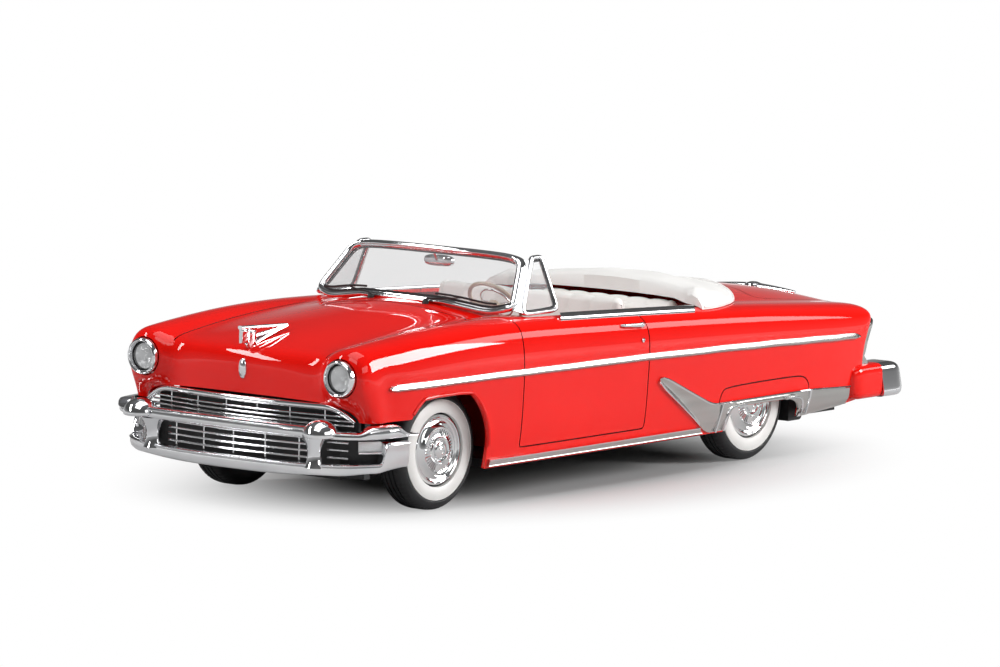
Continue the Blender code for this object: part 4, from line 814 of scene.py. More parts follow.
def beltStrip():
    # the capping that rolls over the door top, its ends cut on the slant
    front, rear = cowlY + 11.6, rearY - 14.4
    inner, outer = cockpitHalf + 0.25, cockpitHalf + 1.75
    rings = []
    for along in shares(trimForm["beltSteps"]):
        y = front + (rear - front) * along
        over, under = [], []
        for share in shares(12):
            x = inner + (outer - inner) * share
            back = y - (x - inner)
            low = onTop(x, back)[0].z
            over.append((x, back, low + 0.1 + 0.48 * (1 - abs(2 * share - 1) ** 4) ** 0.5))
            under.append((x, back, low - 0.06))
        rings.append(over + under[::-1])
    return loft(rings)


handleForm = {
    "y": cowlY + 25.2, "z": beltZ - 2.1, "half": 2.6, "droop": 0.15, "lock": (rearY - 30.2, 20.6),
    "swell": ((-1.0, 0.12), (-0.8, 0.24), (0.3, 0.3), (0.55, 0.3), (0.66, 0.42), (0.9, 0.42), (1.0, 0.15)),
    "knob": ((0.0, 0.0), (0.3, 0.0), (0.3, 0.55), (0.2, 0.68), (0.0, 0.7)),
    "barrel": ((0.0, -0.1), (0.34, -0.1), (0.34, 0.16), (0.24, 0.24), (0.16, 0.14), (0.0, 0.14)),
}


def doorHandle():
    # the pull with its push button, and the lock under it
    middle, z, half = handleForm["y"], handleForm["z"], handleForm["half"]
    path, tall, deep = [], [], []
    for span in spans(24):
        y, low = middle + span * half, z - handleForm["droop"] * span
        stand = 0.38 * (1 - abs(span) ** 6) + 0.1
        path.append((onSide(y, low)[0].x + stand, y, low))
        tall.append(blend(handleForm["swell"], span))
        deep.append(0.24 * min(1.0, 0.5 + 4 * (1 - abs(span))))
    bar = sweep(path, deep, tall, 3.0, 14)
    knob = turned(handleForm["knob"], 20, onSide(middle + 0.8 * half, z - 0.12)[0])
    barrel = turned(handleForm["barrel"], 20, onSide(*handleForm["lock"])[0])
    return mixed(bar, knob, barrel)


def archLip():
    # the rolled edge of the front wheel opening
    y, rise = frontY - bodyForm["archLead"], bodyForm["archRise"]
    line = smoothLine([Vector((a, b, 0)) for a, b in archLine(y, rise, 24)], 1)
    path = []
    for p in line:
        byBumper = p.x <= y and p.y <= bodyForm["wingZ"] + 0.3
        if byBumper or p.y < sillZ + 0.6:
            continue
        edge = p + Vector((p.x - y, p.y - axleZ, 0)).normalized() * 0.22
        path.append((onSide(edge.x, edge.y)[0].x - 0.1, edge.x, edge.y))
    return sweep(evenLine(path, 0.4), 0.32, 0.34, 2.0, 10, up=xAxis)


for tag, side in sides:
    spear, belt, handle = sided(spearStrip(), side), sided(beltStrip(), side), sided(doorHandle(), side)
    rocker, quarter = sided(rockerStrip(), side), sided(quarterTrim(), side)
    addPiece("sideSpear." + tag, spear, foil, ["side_spear_" + tag])
    rocker = addPiece("rockerStrip." + tag, rocker, foil, ["rocker_moulding_" + tag])
    rocker.data.materials.append(plate)
    quarter = addPiece("quarterTrim." + tag, quarter, foil, ["quarter_trim_" + tag])
    quarter.data.materials.append(plate)
    addPiece("trimBeads." + tag, sided(trimBeads(), side), plate)
    addPiece("beltStrip." + tag, belt, plate, ["belt_moulding_" + tag])
    addPiece("doorHandle." + tag, handle, plate, ["door_handle_" + tag])
    addPiece("archLip." + tag, sided(archLip(), side), enamel)
print("side trim done")

wheelForm = {
    "radius": 8.5, "width": 4.9, "whiteRadius": 7.05, "rimRadius": 5.05, "halfTrack": 17.3,
    "treadBlocks": 72, "capRibs": 40,
}


def tyreShape(centre, side):
    w, r = 0.5 * wheelForm["width"], wheelForm["radius"]
    b, groove = wheelForm["rimRadius"] + 0.1, wheelForm["whiteRadius"] + 0.1

    def profile(i):
        cut = 0.14 if i % 4 == 0 else 0.0
        tread = [(r - 0.28, -w + 0.62), (r - 0.1 - cut, -w + 0.86), (r - 0.04 - cut, -w + 1.2)]
        for at in (-0.75, 0.0, 0.75):  # three grooves round the tread
            tread += [(r, at - 0.14), (r - 0.2, at - 0.1), (r - 0.2, at + 0.1), (r, at + 0.14)]
        tread += [(r - 0.04 - cut, w - 1.2), (r - 0.1 - cut, w - 0.86), (r - 0.28, w - 0.62)]
        outer = [(r - 0.6, w - 0.32), (r - 0.95, w - 0.14), (r - 1.2, w - 0.04), (groove + 0.06, w - 0.06),
                 (groove, w - 0.14), (groove, w - 0.6), (b, w - 0.75)]
        inner = [(b, -w + 0.6), (r - 2.4, -w + 0.12), (r - 1.3, -w), (r - 0.7, -w + 0.24)]
        return inner + tread + outer

    return turned(profile, 4 * wheelForm["treadBlocks"], centre, "X", side)


def sidewallShape(centre, side):
    w, b = 0.5 * wheelForm["width"], wheelForm["rimRadius"] + 0.15
    outer = wheelForm["whiteRadius"]
    line = [(b, w - 0.6), (b, w - 0.34)]
    for share in shares(10):
        bulge = math.sin(math.pi * (0.18 + 0.7 * share))
        line.append((b + 0.04 + (outer - b - 0.08) * share, w - 0.28 + 0.34 * bulge))
    line += [(outer, w - 0.1), (outer, w - 0.47)]
    return turned(line, 144, centre, "X", side)


def hubcapShape(centre, side):
    w, r = 0.5 * wheelForm["width"], wheelForm["rimRadius"] - 0.05

    def profile(i):
        high = 0.12 if i % 4 in (0, 1) else 0.0
        hub = [(0.9, -1.4), (1.7, -1.4), (1.7, 0.3), (r, 0.3), (r, w - 0.62)]
        bead = [(r - 0.06, w - 0.36), (r - 0.2, w - 0.2), (r - 0.36, w - 0.18), (r - 0.5, w - 0.26)]
        dish = [(r - 0.62, w - 0.5), (r - 0.85, w - 0.6), (r - 1.1, w - 0.56), (r - 1.4, w - 0.36),
                (r - 1.62, w - 0.12), (r - 1.78, w - 0.02), (r - 1.92, w - 0.06), (r - 2.0, w - 0.2)]
        cone = [(r - 2.06, w - 0.22 + high), (r - 2.5, w - 0.2 + high), (r - 2.95, w - 0.06 + high),
                (r - 3.02, w - 0.1)]
        ring = [(r - 3.1, w + 0.12), (r - 3.22, w + 0.22), (r - 3.4, w + 0.22), (r - 3.52, w + 0.12),
                (r - 3.58, w - 0.06)]
        knob = [(r - 3.75, w - 0.08), (r - 3.82, w + 0.18), (r - 3.95, w + 0.34), (r - 4.2, w + 0.42),
                (r - 4.4, w + 0.42), (r - 4.46, w + 0.34), (r - 4.56, w + 0.36), (r - 4.75, w + 0.5),
                (0.0, w + 0.52)]
        return hub + bead + dish + cone + ring + knob + [(0.0, 0.75), (0.9, 0.75)]

    return turned(profile, 4 * wheelForm["capRibs"], centre, "X", side)


for end in ("front", "rear"):
    body = end + "_wheelset"
    for tag, side in sides:
        centre = Vector((side * wheelForm["halfTrack"], axle[body].y, axle[body].z))
        name = end + "_" + tag
        addPiece("tyre." + name, tyreShape(centre, side), tyreRubber, ["tyre_" + name], body,
                 trimCrease)
        addPiece("whiteSidewall." + name, sidewallShape(centre, side), whiteRubber,
                 ["whitewall_" + name], body)
        addPiece("hubcap." + name, hubcapShape(centre, side), capPlate, ["hubcap_" + name],
                 body, fineCrease)
    coverNode(end + "_axle", steel)
print("wheels done")

glassForm = {
    "cowlHalf": halfWidth - 4.6, "cowlCornerY": cowlY + 3.0, "headerY": cowlY + 6.6,
    "headerCornerY": cowlY + 8.4, "headerHalf": halfWidth - 7.3, "headerZ": beltZ + 8.6,
    "bar": 1.0, "pillarDepth": 1.8, "glass": 0.3, "gap": 0.15, "corner": 9.0,
    "edgeAcross": 0.972, "edgeUp": 0.06, "steps": 160,
}


def shieldPoint(across, up):
    bow = across * across
    lowX = across * glassForm["cowlHalf"]
    lowY = cowlY + (glassForm["cowlCornerY"] - cowlY) * bow
    low = onTop(abs(lowX), lowY)[0]
    low = Vector((lowX, lowY, low.z + glassForm["gap"] + 0.5 * glassForm["bar"]))
    high = Vector((
        across * glassForm["headerHalf"],
        glassForm["headerY"] + (glassForm["headerCornerY"] - glassForm["headerY"]) * bow,
        glassForm["headerZ"] - 0.4 * bow,
    ))
    return low.lerp(high, up)


def shieldLoop(steps):
    # places round the edge of the glass, with rounded corners
    power = 2 / glassForm["corner"]
    out = []
    for i in range(steps):
        t = 2 * math.pi * (i + 0.5) / steps
        c, s = math.cos(t), math.sin(t)
        out.append((math.copysign(abs(c) ** power, c), 0.5 + 0.5 * math.copysign(abs(s) ** power, s)))
    return out


def shieldBar(inset, halfIn, halfDeep, power, pillar=0.0, ahead=0.0):
    # a bar round the windshield: halfIn across it in the plane of the glass, halfDeep through it
    steps = glassForm["steps"]
    places = shieldLoop(steps)
    points = [shieldPoint(a, u) for a, u in places]
    middle = shieldPoint(0.0, 0.5)
    rings = []
    for i, point in enumerate(points):
        along = (points[(i + 1) % steps] - points[i - 1]).normalized()
        inward = yAxis.cross(along).normalized()
        if inward.dot(middle - point) < 0:
            inward = -inward
        share = min(1.0, max(0.0, (abs(places[i][0]) - 0.9) / 0.1))  # 1 at the pillars
        through = halfDeep + (pillar - halfDeep) * share if pillar else halfDeep
        centre = point + inward * inset + yAxis * ahead
        rings.append(ovalRing(centre, inward, yAxis, halfIn, through, power, 14))
    return loft(rings, closed=True)


def shieldGlass():
    half, edge = yAxis * (0.5 * glassForm["glass"]), glassForm["edgeUp"]
    ups = [edge + (1 - 2 * edge) * share for share in shares(10)]
    columns = []
    for span in spans(32):
        points = [shieldPoint(glassForm["edgeAcross"] * span, up) for up in ups]
        columns.append([p - half for p in points] + [p + half for p in points[::-1]])
    return loft(columns)


def ventCorners(side):
    footX, headX = glassForm["cowlHalf"] + 0.9, glassForm["headerHalf"] + 0.5
    foot = onTop(footX, glassForm["cowlCornerY"] + 5.0)[0].z + 0.5
    top = glassForm["headerZ"] - 0.4
    pillar = 0.5 * glassForm["pillarDepth"] + 0.3
    return [
        Vector((side * footX, glassForm["cowlCornerY"] + pillar - 0.5, foot)),
        Vector((side * footX, glassForm["headerCornerY"] + 3.4, foot)),
        Vector((side * headX, glassForm["headerCornerY"] + 3.3, top)),
        Vector((side * headX, glassForm["headerCornerY"] + pillar, top)),
    ]


def ventLoop(side, inset):
    corners = ventCorners(side)
    middle = sum(corners, Vector()) / 4
    drawn = [c + (middle - c).normalized() * inset for c in corners]
    line = []
    for a, b in zip(drawn, drawn[1:] + drawn[:1]):
        line += [a.lerp(b, share) for share in (0.07, 0.5, 0.93)]
    return smoothLine(line, 3, closed=True)


def ventPost(side):
    # the plate that joins the vent frame to the windshield pillar
    corners = ventCorners(side)
    half = xAxis * 0.28
    rings = []
    for share in shares(8):
        up = 0.02 + 0.94 * share
        front, back = shieldPoint(side * 0.99, up), corners[0].lerp(corners[3], up)
        rings.append([front - half, back - half, back + half, front + half])
    return loft(rings)


def makeShield():
    half = 0.5 * glassForm["bar"]
    bar = shieldBar(inset=0.0, halfIn=half, halfDeep=half, power=3.4, pillar=0.5 * glassForm["pillarDepth"])
    bead = shieldBar(inset=-0.1, halfIn=0.2, halfDeep=0.16, power=2.0, ahead=-half - 0.02)
    gasket = shieldBar(inset=0.56, halfIn=0.16, halfDeep=0.3, power=2.6)
    addPiece("shieldFrame", mixed(bar, bead), plate, ["windshield_frame"], angle=trimCrease)
    addPiece("shieldGasket", gasket, rubber)
    addPiece("shieldGlass", shieldGlass(), glazing, ["windshield_glass"])
    for tag, side in sides:
        vent = mixed(sweep(ventLoop(side, 0.0), 0.34, 0.4, 2.6, 12, xAxis, True), ventPost(side))
        addPiece("ventFrame." + tag, vent, plate, ["vent_frame_" + tag], angle=trimCrease)
        lip = sweep(ventLoop(side, 0.55), 0.16, 0.2, 2.0, 8, xAxis, True)
        addPiece("ventGasket." + tag, lip, rubber)
        pane, thick = ventLoop(side, 0.6), xAxis * 0.12
        sheet = loft([[p - thick for p in pane], [p + thick for p in pane]])
        addPiece("ventGlass." + tag, sheet, glazing, ["vent_glass_" + tag])


wiperForm = {
    # places are shares of the windshield's half width and of its height
    "ahead": 1.0, "pivot": 0.28, "tip": (0.6, 0.17), "blade": (0.36, 0.54), "bladeUp": 0.15, "bladeBow": 0.03,
    "boss": ((0.0, -0.3), (0.5, -0.3), (0.5, 0.3), (0.34, 0.52), (0.0, 0.58)),
}


def wiperShape(side):
    def place(across, up):
        foot, point = shieldPoint(side * across, 0.0), shieldPoint(side * across, up)
        return Vector((point.x, foot.y - wiperForm["ahead"] + 0.5 * (point.y - foot.y), point.z))

    pivot = place(wiperForm["pivot"], 0.0)
    pivot.z = onTop(abs(pivot.x), pivot.y)[0].z
    boss = turned(wiperForm["boss"], 24, pivot, "Z")
    tip = place(*wiperForm["tip"])
    elbow = pivot.lerp(tip, 0.35) + zAxis * 0.45
    arm = smoothLine([pivot + zAxis * 0.4, pivot + zAxis * 0.75, elbow, tip], 2)
    sizes = [0.16 - 0.08 * share for share in shares(len(arm) - 1)]
    rod = sweep(arm, sizes, sizes, *wireSection, yAxis)
    start, run = wiperForm["blade"]
    blade = []
    for share in shares(20):
        bow = wiperForm["bladeBow"] * math.sin(math.pi * share)
        blade.append(place(start + run * share, wiperForm["bladeUp"] + bow))
    return mixed(boss, rod, sweep(blade, 0.1, 0.16, 3.0, 8))


def makeWipers():
    for tag, side in sides:
        addPiece("wiper." + tag, wiperShape(side), rubber, ["wiper_" + tag])


mirrorForm = {
    "half": 2.65, "tall": 0.82, "back": 1.6, "drop": 1.9,
    # back along the car, then size
    "profile": ((-0.45, 0.5), (-0.4, 0.78), (-0.2, 0.94), (0.3, 1.0), (0.42, 0.98), (0.44, 0.9),
                (0.36, 0.84)),
}


def makeMirror():
    head = shieldPoint(0.0, 1.0)
    y, z = head.y + mirrorForm["back"], head.z - mirrorForm["drop"]
    rings = []
    for back, grow in mirrorForm["profile"]:
        half, tall = mirrorForm["half"] * grow, mirrorForm["tall"] * grow
        rings.append(ovalRing(Vector((0, y + back, z)), xAxis, zAxis, half, tall, 3.2, 40))
    line = [(0, y - 0.2, z), (0, y - 0.7, z + 0.9), (0, head.y + 0.5, head.z - 0.2)]
    stalk = sweep(smoothLine(line, 2), 0.26)
    addPiece("cabinMirror", mixed(loft(rings), stalk), plate, ["rear_view_mirror"])


makeShield()
makeWipers()
makeMirror()
print("glass house done")

cabinForm = {
    "tubHalf": cockpitHalf - 0.5, "tubFront": cockpitFrontY + 0.6, "tubTop": beltZ - 2.0,
    "tubWall": 0.8, "rearHalf": 13.6, "floor": 7.05, "cushionZ": 16.2, "wheelX": 8.8, "wheelRim": 4.2,
    "tilt": math.radians(40), "frontSeatY": cockpitFrontY + 13.4, "rearSeatY": rearY - 19.8,
    "pleatDepth": 0.24, "drawIn": 1.1, "seatSteps": 192, "shoulderLow": 19.0,
}


def benchShape(y, half, cushionZ, depth, backY, backTop, low, pleats):
    # a bench seat swept across the car, with sewn channels and rounded ends
    outline = [(y + 0.2, low), (y + depth + 3.4, low), (backY + 3.6, backTop - 3.0)]
    outline += arcLine((backY + 2.4, backTop - 1.2), 1.2, 0, 150, 10)
    outline += [(y + depth + 0.2, cushionZ + 1.2), (y + depth - 0.6, cushionZ + 0.1),
                (y + depth - 2.4, cushionZ), (y + 3.0, cushionZ + 0.55)]
    outline += arcLine((y + 1.3, cushionZ - 0.75), 1.3, 80, 190, 8)
    closedLine = [Vector((a, b, 0)) for a, b in outline]
    line = evenLine(smoothLine(closedLine + closedLine[:1], 1), 0.3)[:-1]
    count = len(line)
    pads = []
    for i, p in enumerate(line):
        along = (line[(i + 1) % count] - line[i - 1]).normalized()
        out = Vector((along.y, -along.x, 0))
        soft = 1.0 if (out.y > 0.25 or out.x < -0.25) and p.y > cushionZ - 1.2 else 0.0
        pads.append((p, out, soft))
    draw, pitch = cabinForm["drawIn"], 2 * (half - cabinForm["drawIn"]) / pleats
    rings = []
    for span in spans(cabinForm["seatSteps"]):
        x = half * span
        end = max(0.0, abs(x) - half + draw) / draw
        inset = draw * (1 - math.sqrt(max(0.0, 1 - end * end)))
        wave = abs(math.sin(math.pi * (x + half - draw) / pitch))
        channel = cabinForm["pleatDepth"] * (1 - wave ** 0.6) if end == 0.0 else 0.0
        ring = []
        for p, out, soft in pads:
            sunk = inset + soft * channel
            ring.append((x, p.x - out.x * sunk, p.y - out.y * sunk))
        rings.append(ring)
    return loft(rings)


def makeSeats():
    low, cushion = cabinForm["floor"] + 0.15, cabinForm["cushionZ"]
    inside = cabinForm["tubHalf"] - cabinForm["tubWall"]
    y = cabinForm["frontSeatY"]
    front = benchShape(y, inside - 1.1, cushion, depth=9.0, backY=y + 9.6, backTop=beltZ + 1.0, low=low,
                       pleats=8)
    addPiece("frontBench", front, seatSkin, ["front_seat"], angle=padCrease)
    y, back = cabinForm["rearSeatY"], cabinForm["rearSeatY"] + 8.3
    rear = benchShape(y, cabinForm["rearHalf"] - 1.2, cushion + 0.6, depth=7.5, backY=back,
                      backTop=beltZ - 1.2, low=low, pleats=6)
    shoulder, wide, run = [], inside - 0.3, 0.8
    foot, top = cabinForm["shoulderLow"], cabinForm["tubTop"]
    for span in spans(60):
        x = wide * span
        end = max(0.0, abs(x) - wide + run) / run
        inset = 0.7 * (1 - math.sqrt(max(0.0, 1 - end * end)))
        middle = Vector((x, back + 1.6, 0.5 * (foot + top)))
        shoulder.append(ovalRing(middle, yAxis, zAxis, 1.0 - inset, 0.5 * (top - foot) - inset, 4.0, 20))
    bench = mixed(rear, loft(shoulder))
    addPiece("rearBench", bench, seatSkin, ["rear_seat"], angle=padCrease)


dashForm = {
    "hood": ((0.0, 0.0), (2.0, 0.0), (2.1, 0.8), (2.0, 1.7), (1.85, 1.95), (1.7, 1.7), (1.6, 1.2),
             (0.0, 1.2)),
    "dial": ((0.0, 0.0), (1.55, 0.0), (1.55, 0.12), (0.0, 0.12)),
    "knob": ((0.0, 0.0), (0.36, 0.0), (0.36, 0.5), (0.26, 0.62), (0.0, 0.64)),
    "knobs": (2.8, -0.4, -2.0, -3.6),
    "lid": ((-6.0, 1.2), (-13.6, 1.2), (-13.6, 3.0), (-6.0, 3.0)),  # x, and height over the dash's foot
}


def makeDash():
    y = cabinForm["tubFront"] + cabinForm["tubWall"] + 0.15
    low, top = cabinForm["tubTop"] - 5.0, beltZ + 0.1
    half = cabinForm["tubHalf"] - cabinForm["tubWall"] - 0.15
    dialX, dialZ = cabinForm["wheelX"], top - 1.6
    outline = [(y, low), (y + 0.7, low), (y + 0.9, low + 0.2), (y + 1.1, low + 3.0)]
    outline += arcLine((y + 1.2, top - 1.2), 1.2, -60, 90, 14) + [(y, top)]
    roll = loft([[(half * span, a, b) for a, b in outline] for span in spans(40)])
    hood = turned(dashForm["hood"], 48, (dialX, y + 0.9, dialZ), "Y")
    addPiece("dashRoll", mixed(roll, hood), cabinRed, ["dashboard"])
    dial = turned(dashForm["dial"], 40, (dialX, y + 2.1, dialZ), "Y")
    addPiece("dialFace", dial, dialBlack)
    rim = turned(arcLine((1.6, 0.0), 0.1, 0, 330, 11), 48, (dialX, y + 2.2, dialZ), "Y")
    needle = sweep([(dialX, y + 2.3, dialZ), (dialX - 0.9, y + 2.3, top - 0.9)], 0.05)
    bright = [rim, needle]
    for x in dashForm["knobs"]:
        bright.append(turned(dashForm["knob"], 20, (x, y + 1.0, low + 2.2), "Y"))
    lid = [Vector((x, y + 1.0, low + rise)) for x, rise in dashForm["lid"]]
    bright.append(sweep(smoothLine(lid, 2, closed=True), 0.1, 0.1, 2.0, 8, yAxis, True))
    addPiece("dashBrightwork", mixed(*bright), plate)


steeringForm = {
    "hub": ((0.0, -1.8), (0.5, -1.8), (0.5, -0.9), (0.95, -0.5), (1.0, 0.0), (0.8, 0.2), (0.0, 0.3)),
    "button": ((0.0, 0.2), (0.62, 0.2), (0.62, 0.32), (0.4, 0.46), (0.0, 0.5)),
}


def makeSteering():
    place = Matrix.Translation((cabinForm["wheelX"], cabinForm["tubFront"] + 5.6, beltZ + 0.9))
    place = place @ Matrix.Rotation(cabinForm["tilt"] - math.pi / 2, 4, "X")
    rim = cabinForm["wheelRim"]
    parts = [turned(arcLine((rim, 0.0), 0.3, 0, 330, 11), 96, origin, "Z")]
    parts.append(turned(steeringForm["hub"], 40, origin, "Z"))
    ring = [turned(arcLine((0.62 * rim, 0.4), 0.15, 0, 324, 9), 72, origin, "Z")]
    for turn in (-1, 1):
        spoke = []
        for share in shares(10):
            spoke.append((turn * (0.6 + (rim - 0.6) * share), 0, -0.1 - 0.25 * math.sin(math.pi * share)))
        parts.append(sweep(spoke, 0.36, 0.16, 3.0, 12))
        ring.append(sweep([(turn * 0.7, 0, 0.2), (turn * 1.6, 0, 0.42), (turn * 0.6 * rim, 0, 0.4)], 0.13))
    ring.append(turned(steeringForm["button"], 32, origin, "Z"))
    wheel, horn = mixed(*parts), mixed(*ring)
    wheel.transform(place)
    horn.transform(place)
    addPiece("steeringWheel", wheel, cream, ["steering_wheel"])
    addPiece("hornRing", horn, plate, ["horn_ring"])


def makeDoorCards():
    # an armrest and a bright bead on the inside of each door
    for tag, side in sides:
        x = cabinForm["tubHalf"] - cabinForm["tubWall"] - 0.12
        front, rear = cabinForm["tubFront"] + 5.0, cabinForm["rearSeatY"] + 6.0
        swell = [math.sin(math.pi * share) for share in shares(12)]
        rest = sweep([(side * x, front + 6 + 8 * share, 19.0) for share in shares(12)],
                     [0.35 + 0.45 * s for s in swell], [0.3 + 0.25 * s for s in swell], 2.6, 16)
        addPiece("armrest." + tag, rest, seatSkin)
        line = sweep([(side * x, front + (rear - front) * share, 21.4) for share in shares(20)], 0.14)
        addPiece("doorBead." + tag, line, plate)


makeSeats()
makeDash()
makeSteering()
makeDoorCards()
coverNode("interior_tub", cabinRed)
print("cabin done")

bootForm = {
    "lap": 4.2, "start": rearY - 12.3, "lead": 1.2, "half": cockpitHalf + 1.3, "hemZ": beltZ - 0.65,
    "steps": 128, "crown": 2.6, "gap": 0.12, "crease": 60,
}


def bootPlace(along, across):
    start, end = bootForm["start"], cockpitRearY + bootForm["lap"]
    front, reach = start - bootForm["lead"], math.cos(math.pi * along)
    inner = cabinCurve(along, cockpitHalf - 2.6, start, start + 3.6)
    outer = Vector((bootForm["half"] * reach, front + (end - front) * max(0.0, 1 - abs(reach) ** 1.3) ** 0.5))
    return inner.lerp(outer, across)


def bootHeight(along, across):
    swell = math.sin(math.pi * along)
    flat = swell ** 3
    stops = ((0.0, 0.5), (0.06, 0.85), (0.3, 1.0), (0.65, 0.85 - 0.4 * flat), (0.93, 0.45 - 0.3 * flat),
             (1.0, 0.1))
    crown = (bootForm["crown"] - 0.8 * swell) * min(1.0, 0.55 + 6.0 * min(along, 1 - along))
    folds = 0.05 * math.sin(46 * along) * math.sin(math.pi * min(1.0, across * 1.1)) * swell
    return crown * blend(stops, across) + folds


def makeBoot():
    rings = []
    for along in shares(bootForm["steps"]):
        over, under = [], []
        for across in shares(24):
            place = bootPlace(along, across)
            low = onTop(abs(place.x), place.y)[0].z + bootForm["gap"]
            over.append((place.x, place.y, low + bootHeight(along, across)))
            under.append((place.x, place.y, min(low, bootForm["hemZ"]) if across < 0.08 else low))
        rings.append(over + under[::-1])
    hem = []
    for along in shares(bootForm["steps"])[1:-1]:
        place = bootPlace(along, 0.975)
        hem.append((place.x, place.y, onTop(abs(place.x), place.y)[0].z + bootForm["gap"] + 0.3))
    cover = mixed(loft(rings), sweep(hem, 0.2))
    addPiece("topBoot", cover, bootSkin, ["top_boot"], angle=bootForm["crease"])


makeBoot()
print("boot done")

frontForm = {
    "bumperZ": 12.6, "rise": 0.8, "wingTop": 13.7, "panZ": 8.1, "guardX": halfWidth - 6.2,
    "grilleHalf": halfWidth - 3.8, "bars": 3, "uprights": (2.8, 8.4, 14.0), "lampRadius": 2.6,
    "lowerUprights": (-11.2, -5.6, 0.0, 5.6, 11.2), "lowerBars": 4, "shortBars": 3,
}


def grilleFace(x):
    return noseY - 0.3 + 2.4 * (x / frontForm["grilleHalf"]) ** 2


def grilleUpright(x, y, heights, wide, deep):
    return sweep([(x, y, z) for z in heights], wide, deep, *wireSection, yAxis)


def upperGrille():
    half = frontForm["grilleHalf"]
    low, high = frontForm["bumperZ"] + 0.5, frontForm["bumperZ"] + 3.1
    path, tall = [], []
    for span in spans(80):
        x = half * math.copysign(abs(span) ** 0.9, span)
        fall = max(0.0, abs(span) - 0.72) / 0.28  # the bar drops toward its ends
        path.append((x, grilleFace(x) - 0.15, high - 1.9 * fall ** 2))
        tall.append(0.42 - 0.12 * fall)
    parts = [sweep(path, 0.42, tall, 2.6, 14)]
    for k in range(frontForm["bars"]):
        z = low + 0.15 + 0.62 * k
        reach = half - 1.3 + 0.25 * (frontForm["bars"] - k)
        line = [(reach * span, grilleFace(reach * span) + 0.25, z) for span in spans(48)]
        parts.append(sweep(line, 0.2, 0.15, *wireSection))
    for x in [s * u for u in frontForm["uprights"] for s in (-1, 1)]:
        heights = (low - 0.2, 0.5 * (low + high), high)
        parts.append(grilleUpright(x, grilleFace(x) + 0.3, heights, 0.11, 0.2))
    return mixed(*parts)


def lowerGrille():
    half, count = frontForm["guardX"] - 3.6, frontForm["lowerBars"]
    low, high = frontForm["panZ"] + 0.1, frontForm["bumperZ"] - frontForm["rise"]
    parts = []
    for k in range(count):
        z = low + 0.55 + (high - low - 0.9) * k / (count - 1)
        line = [(half * span, grilleFace(half * span) - 1.4, z) for span in spans(40)]
        parts.append(sweep(line, 0.24, 0.17, *wireSection))
    for x in frontForm["lowerUprights"]:
        parts.append(grilleUpright(x, grilleFace(x) - 1.3, (low, 0.5 * (low + high), high), 0.13, 0.24))
    for _, side in sides[::-1]:  # short bars between each guard and its parking lamp
        for k in range(frontForm["shortBars"]):
            reach = [frontForm["guardX"] - 1.0 + 0.4 * i for i in range(9)]
            line = [(side * x, grilleFace(x) - 1.15, low + 0.75 + 1.05 * k) for x in reach]
            parts.append(sweep(line, 0.2, 0.15, *wireSection))
    return mixed(*parts)


def grilleShadeSheet(half, low, high, back):
    # a black sheet behind a grille, so that the openings between the bars read dark: painted shade
    rings = []
    for span in spans(40):
        x = half * span
        y = grilleFace(x) + back
        rings.append([(x, y, low), (x, y, high), (x, y + 0.5, high), (x, y + 0.5, low)])
    return loft(rings)


def bumperPlan(turn, wide, deep, start, square=3.2):
    power = 2 / square

    def place(t):
        a = 0.5 * math.pi * min(max(abs(t), 0.0001), 0.9999)
        across = math.copysign(wide * math.sin(a) ** power, t)
        return Vector((across, start + deep * (1 - math.cos(a) ** power)))

    ahead = place(turn + 0.01) - place(turn - 0.01)
    return place(turn), Vector((ahead.y, -ahead.x)).normalized()


# sections of a bumper: outward in thicknesses, height in half heights
barProfile = (
    (0.0, -1.0), (0.24, -0.95), (0.4, -0.78), (0.48, -0.5), (0.52, -0.15), (0.53, 0.2), (0.5, 0.52),
    (0.4, 0.8), (0.24, 0.95), (0.0, 1.0), (-0.5, 1.0), (-0.5, -1.0),
)
ridgeProfile = (
    (0.0, -1.0), (0.22, -0.96), (0.38, -0.8), (0.44, -0.45), (0.42, 0.0), (0.38, 0.3), (0.5, 0.42),
    (0.54, 0.62), (0.44, 0.85), (0.1, 1.0), (-0.5, 1.0), (-0.5, -1.0),
)
panProfile = (
    (0.0, -1.0), (0.28, -0.92), (0.42, -0.68), (0.48, -0.3), (0.5, 0.2), (0.47, 0.56), (0.54, 0.64),
    (0.58, 0.8), (0.48, 0.95), (0.2, 1.0), (-0.5, 1.0), (-0.5, -1.0),
)


def bumperBar(wide, deep, start, levels, thickness, low, high, steps, profile=barProfile, ripple=None,
              square=3.2):
    rings = []
    for i in range(steps + 1):
        turn = low + (high - low) * i / steps
        place, out = bumperPlan(turn, wide, deep, start, square)
        bottom, top = (blend(stops, abs(turn)) for stops in levels)
        half, middle = 0.5 * (top - bottom), 0.5 * (top + bottom)
        grow = thickness * (1 + (ripple(i) if ripple else 0.0))
        ring = []
        for outward, rise in profile:
            point = place + out * outward * (grow if outward > 0 else thickness)
            ring.append((point.x, point.y, middle + rise * half))
        rings.append(ring)
    return loft(rings)


guardForm = {
    "grow": 1.08, "squash": 0.75,
    # radius, then height
    "dome": ((0.0, 1.42), (0.5, 1.38), (1.0, 1.22), (1.45, 0.96), (1.85, 0.58), (2.1, 0.16), (2.24, -0.28),
             (2.3, -0.62), (2.26, -0.86), (2.12, -0.98), (1.9, -1.02), (1.6, -0.98), (0.0, -0.9)),
    "stem": ((0.0, 0.0), (1.62, 0.0), (1.5, 0.25), (1.22, 0.8), (1.06, 1.6), (1.08, 2.4), (1.3, 3.2),
             (1.75, 3.9), (1.9, 4.2), (0.0, 4.2)),
}


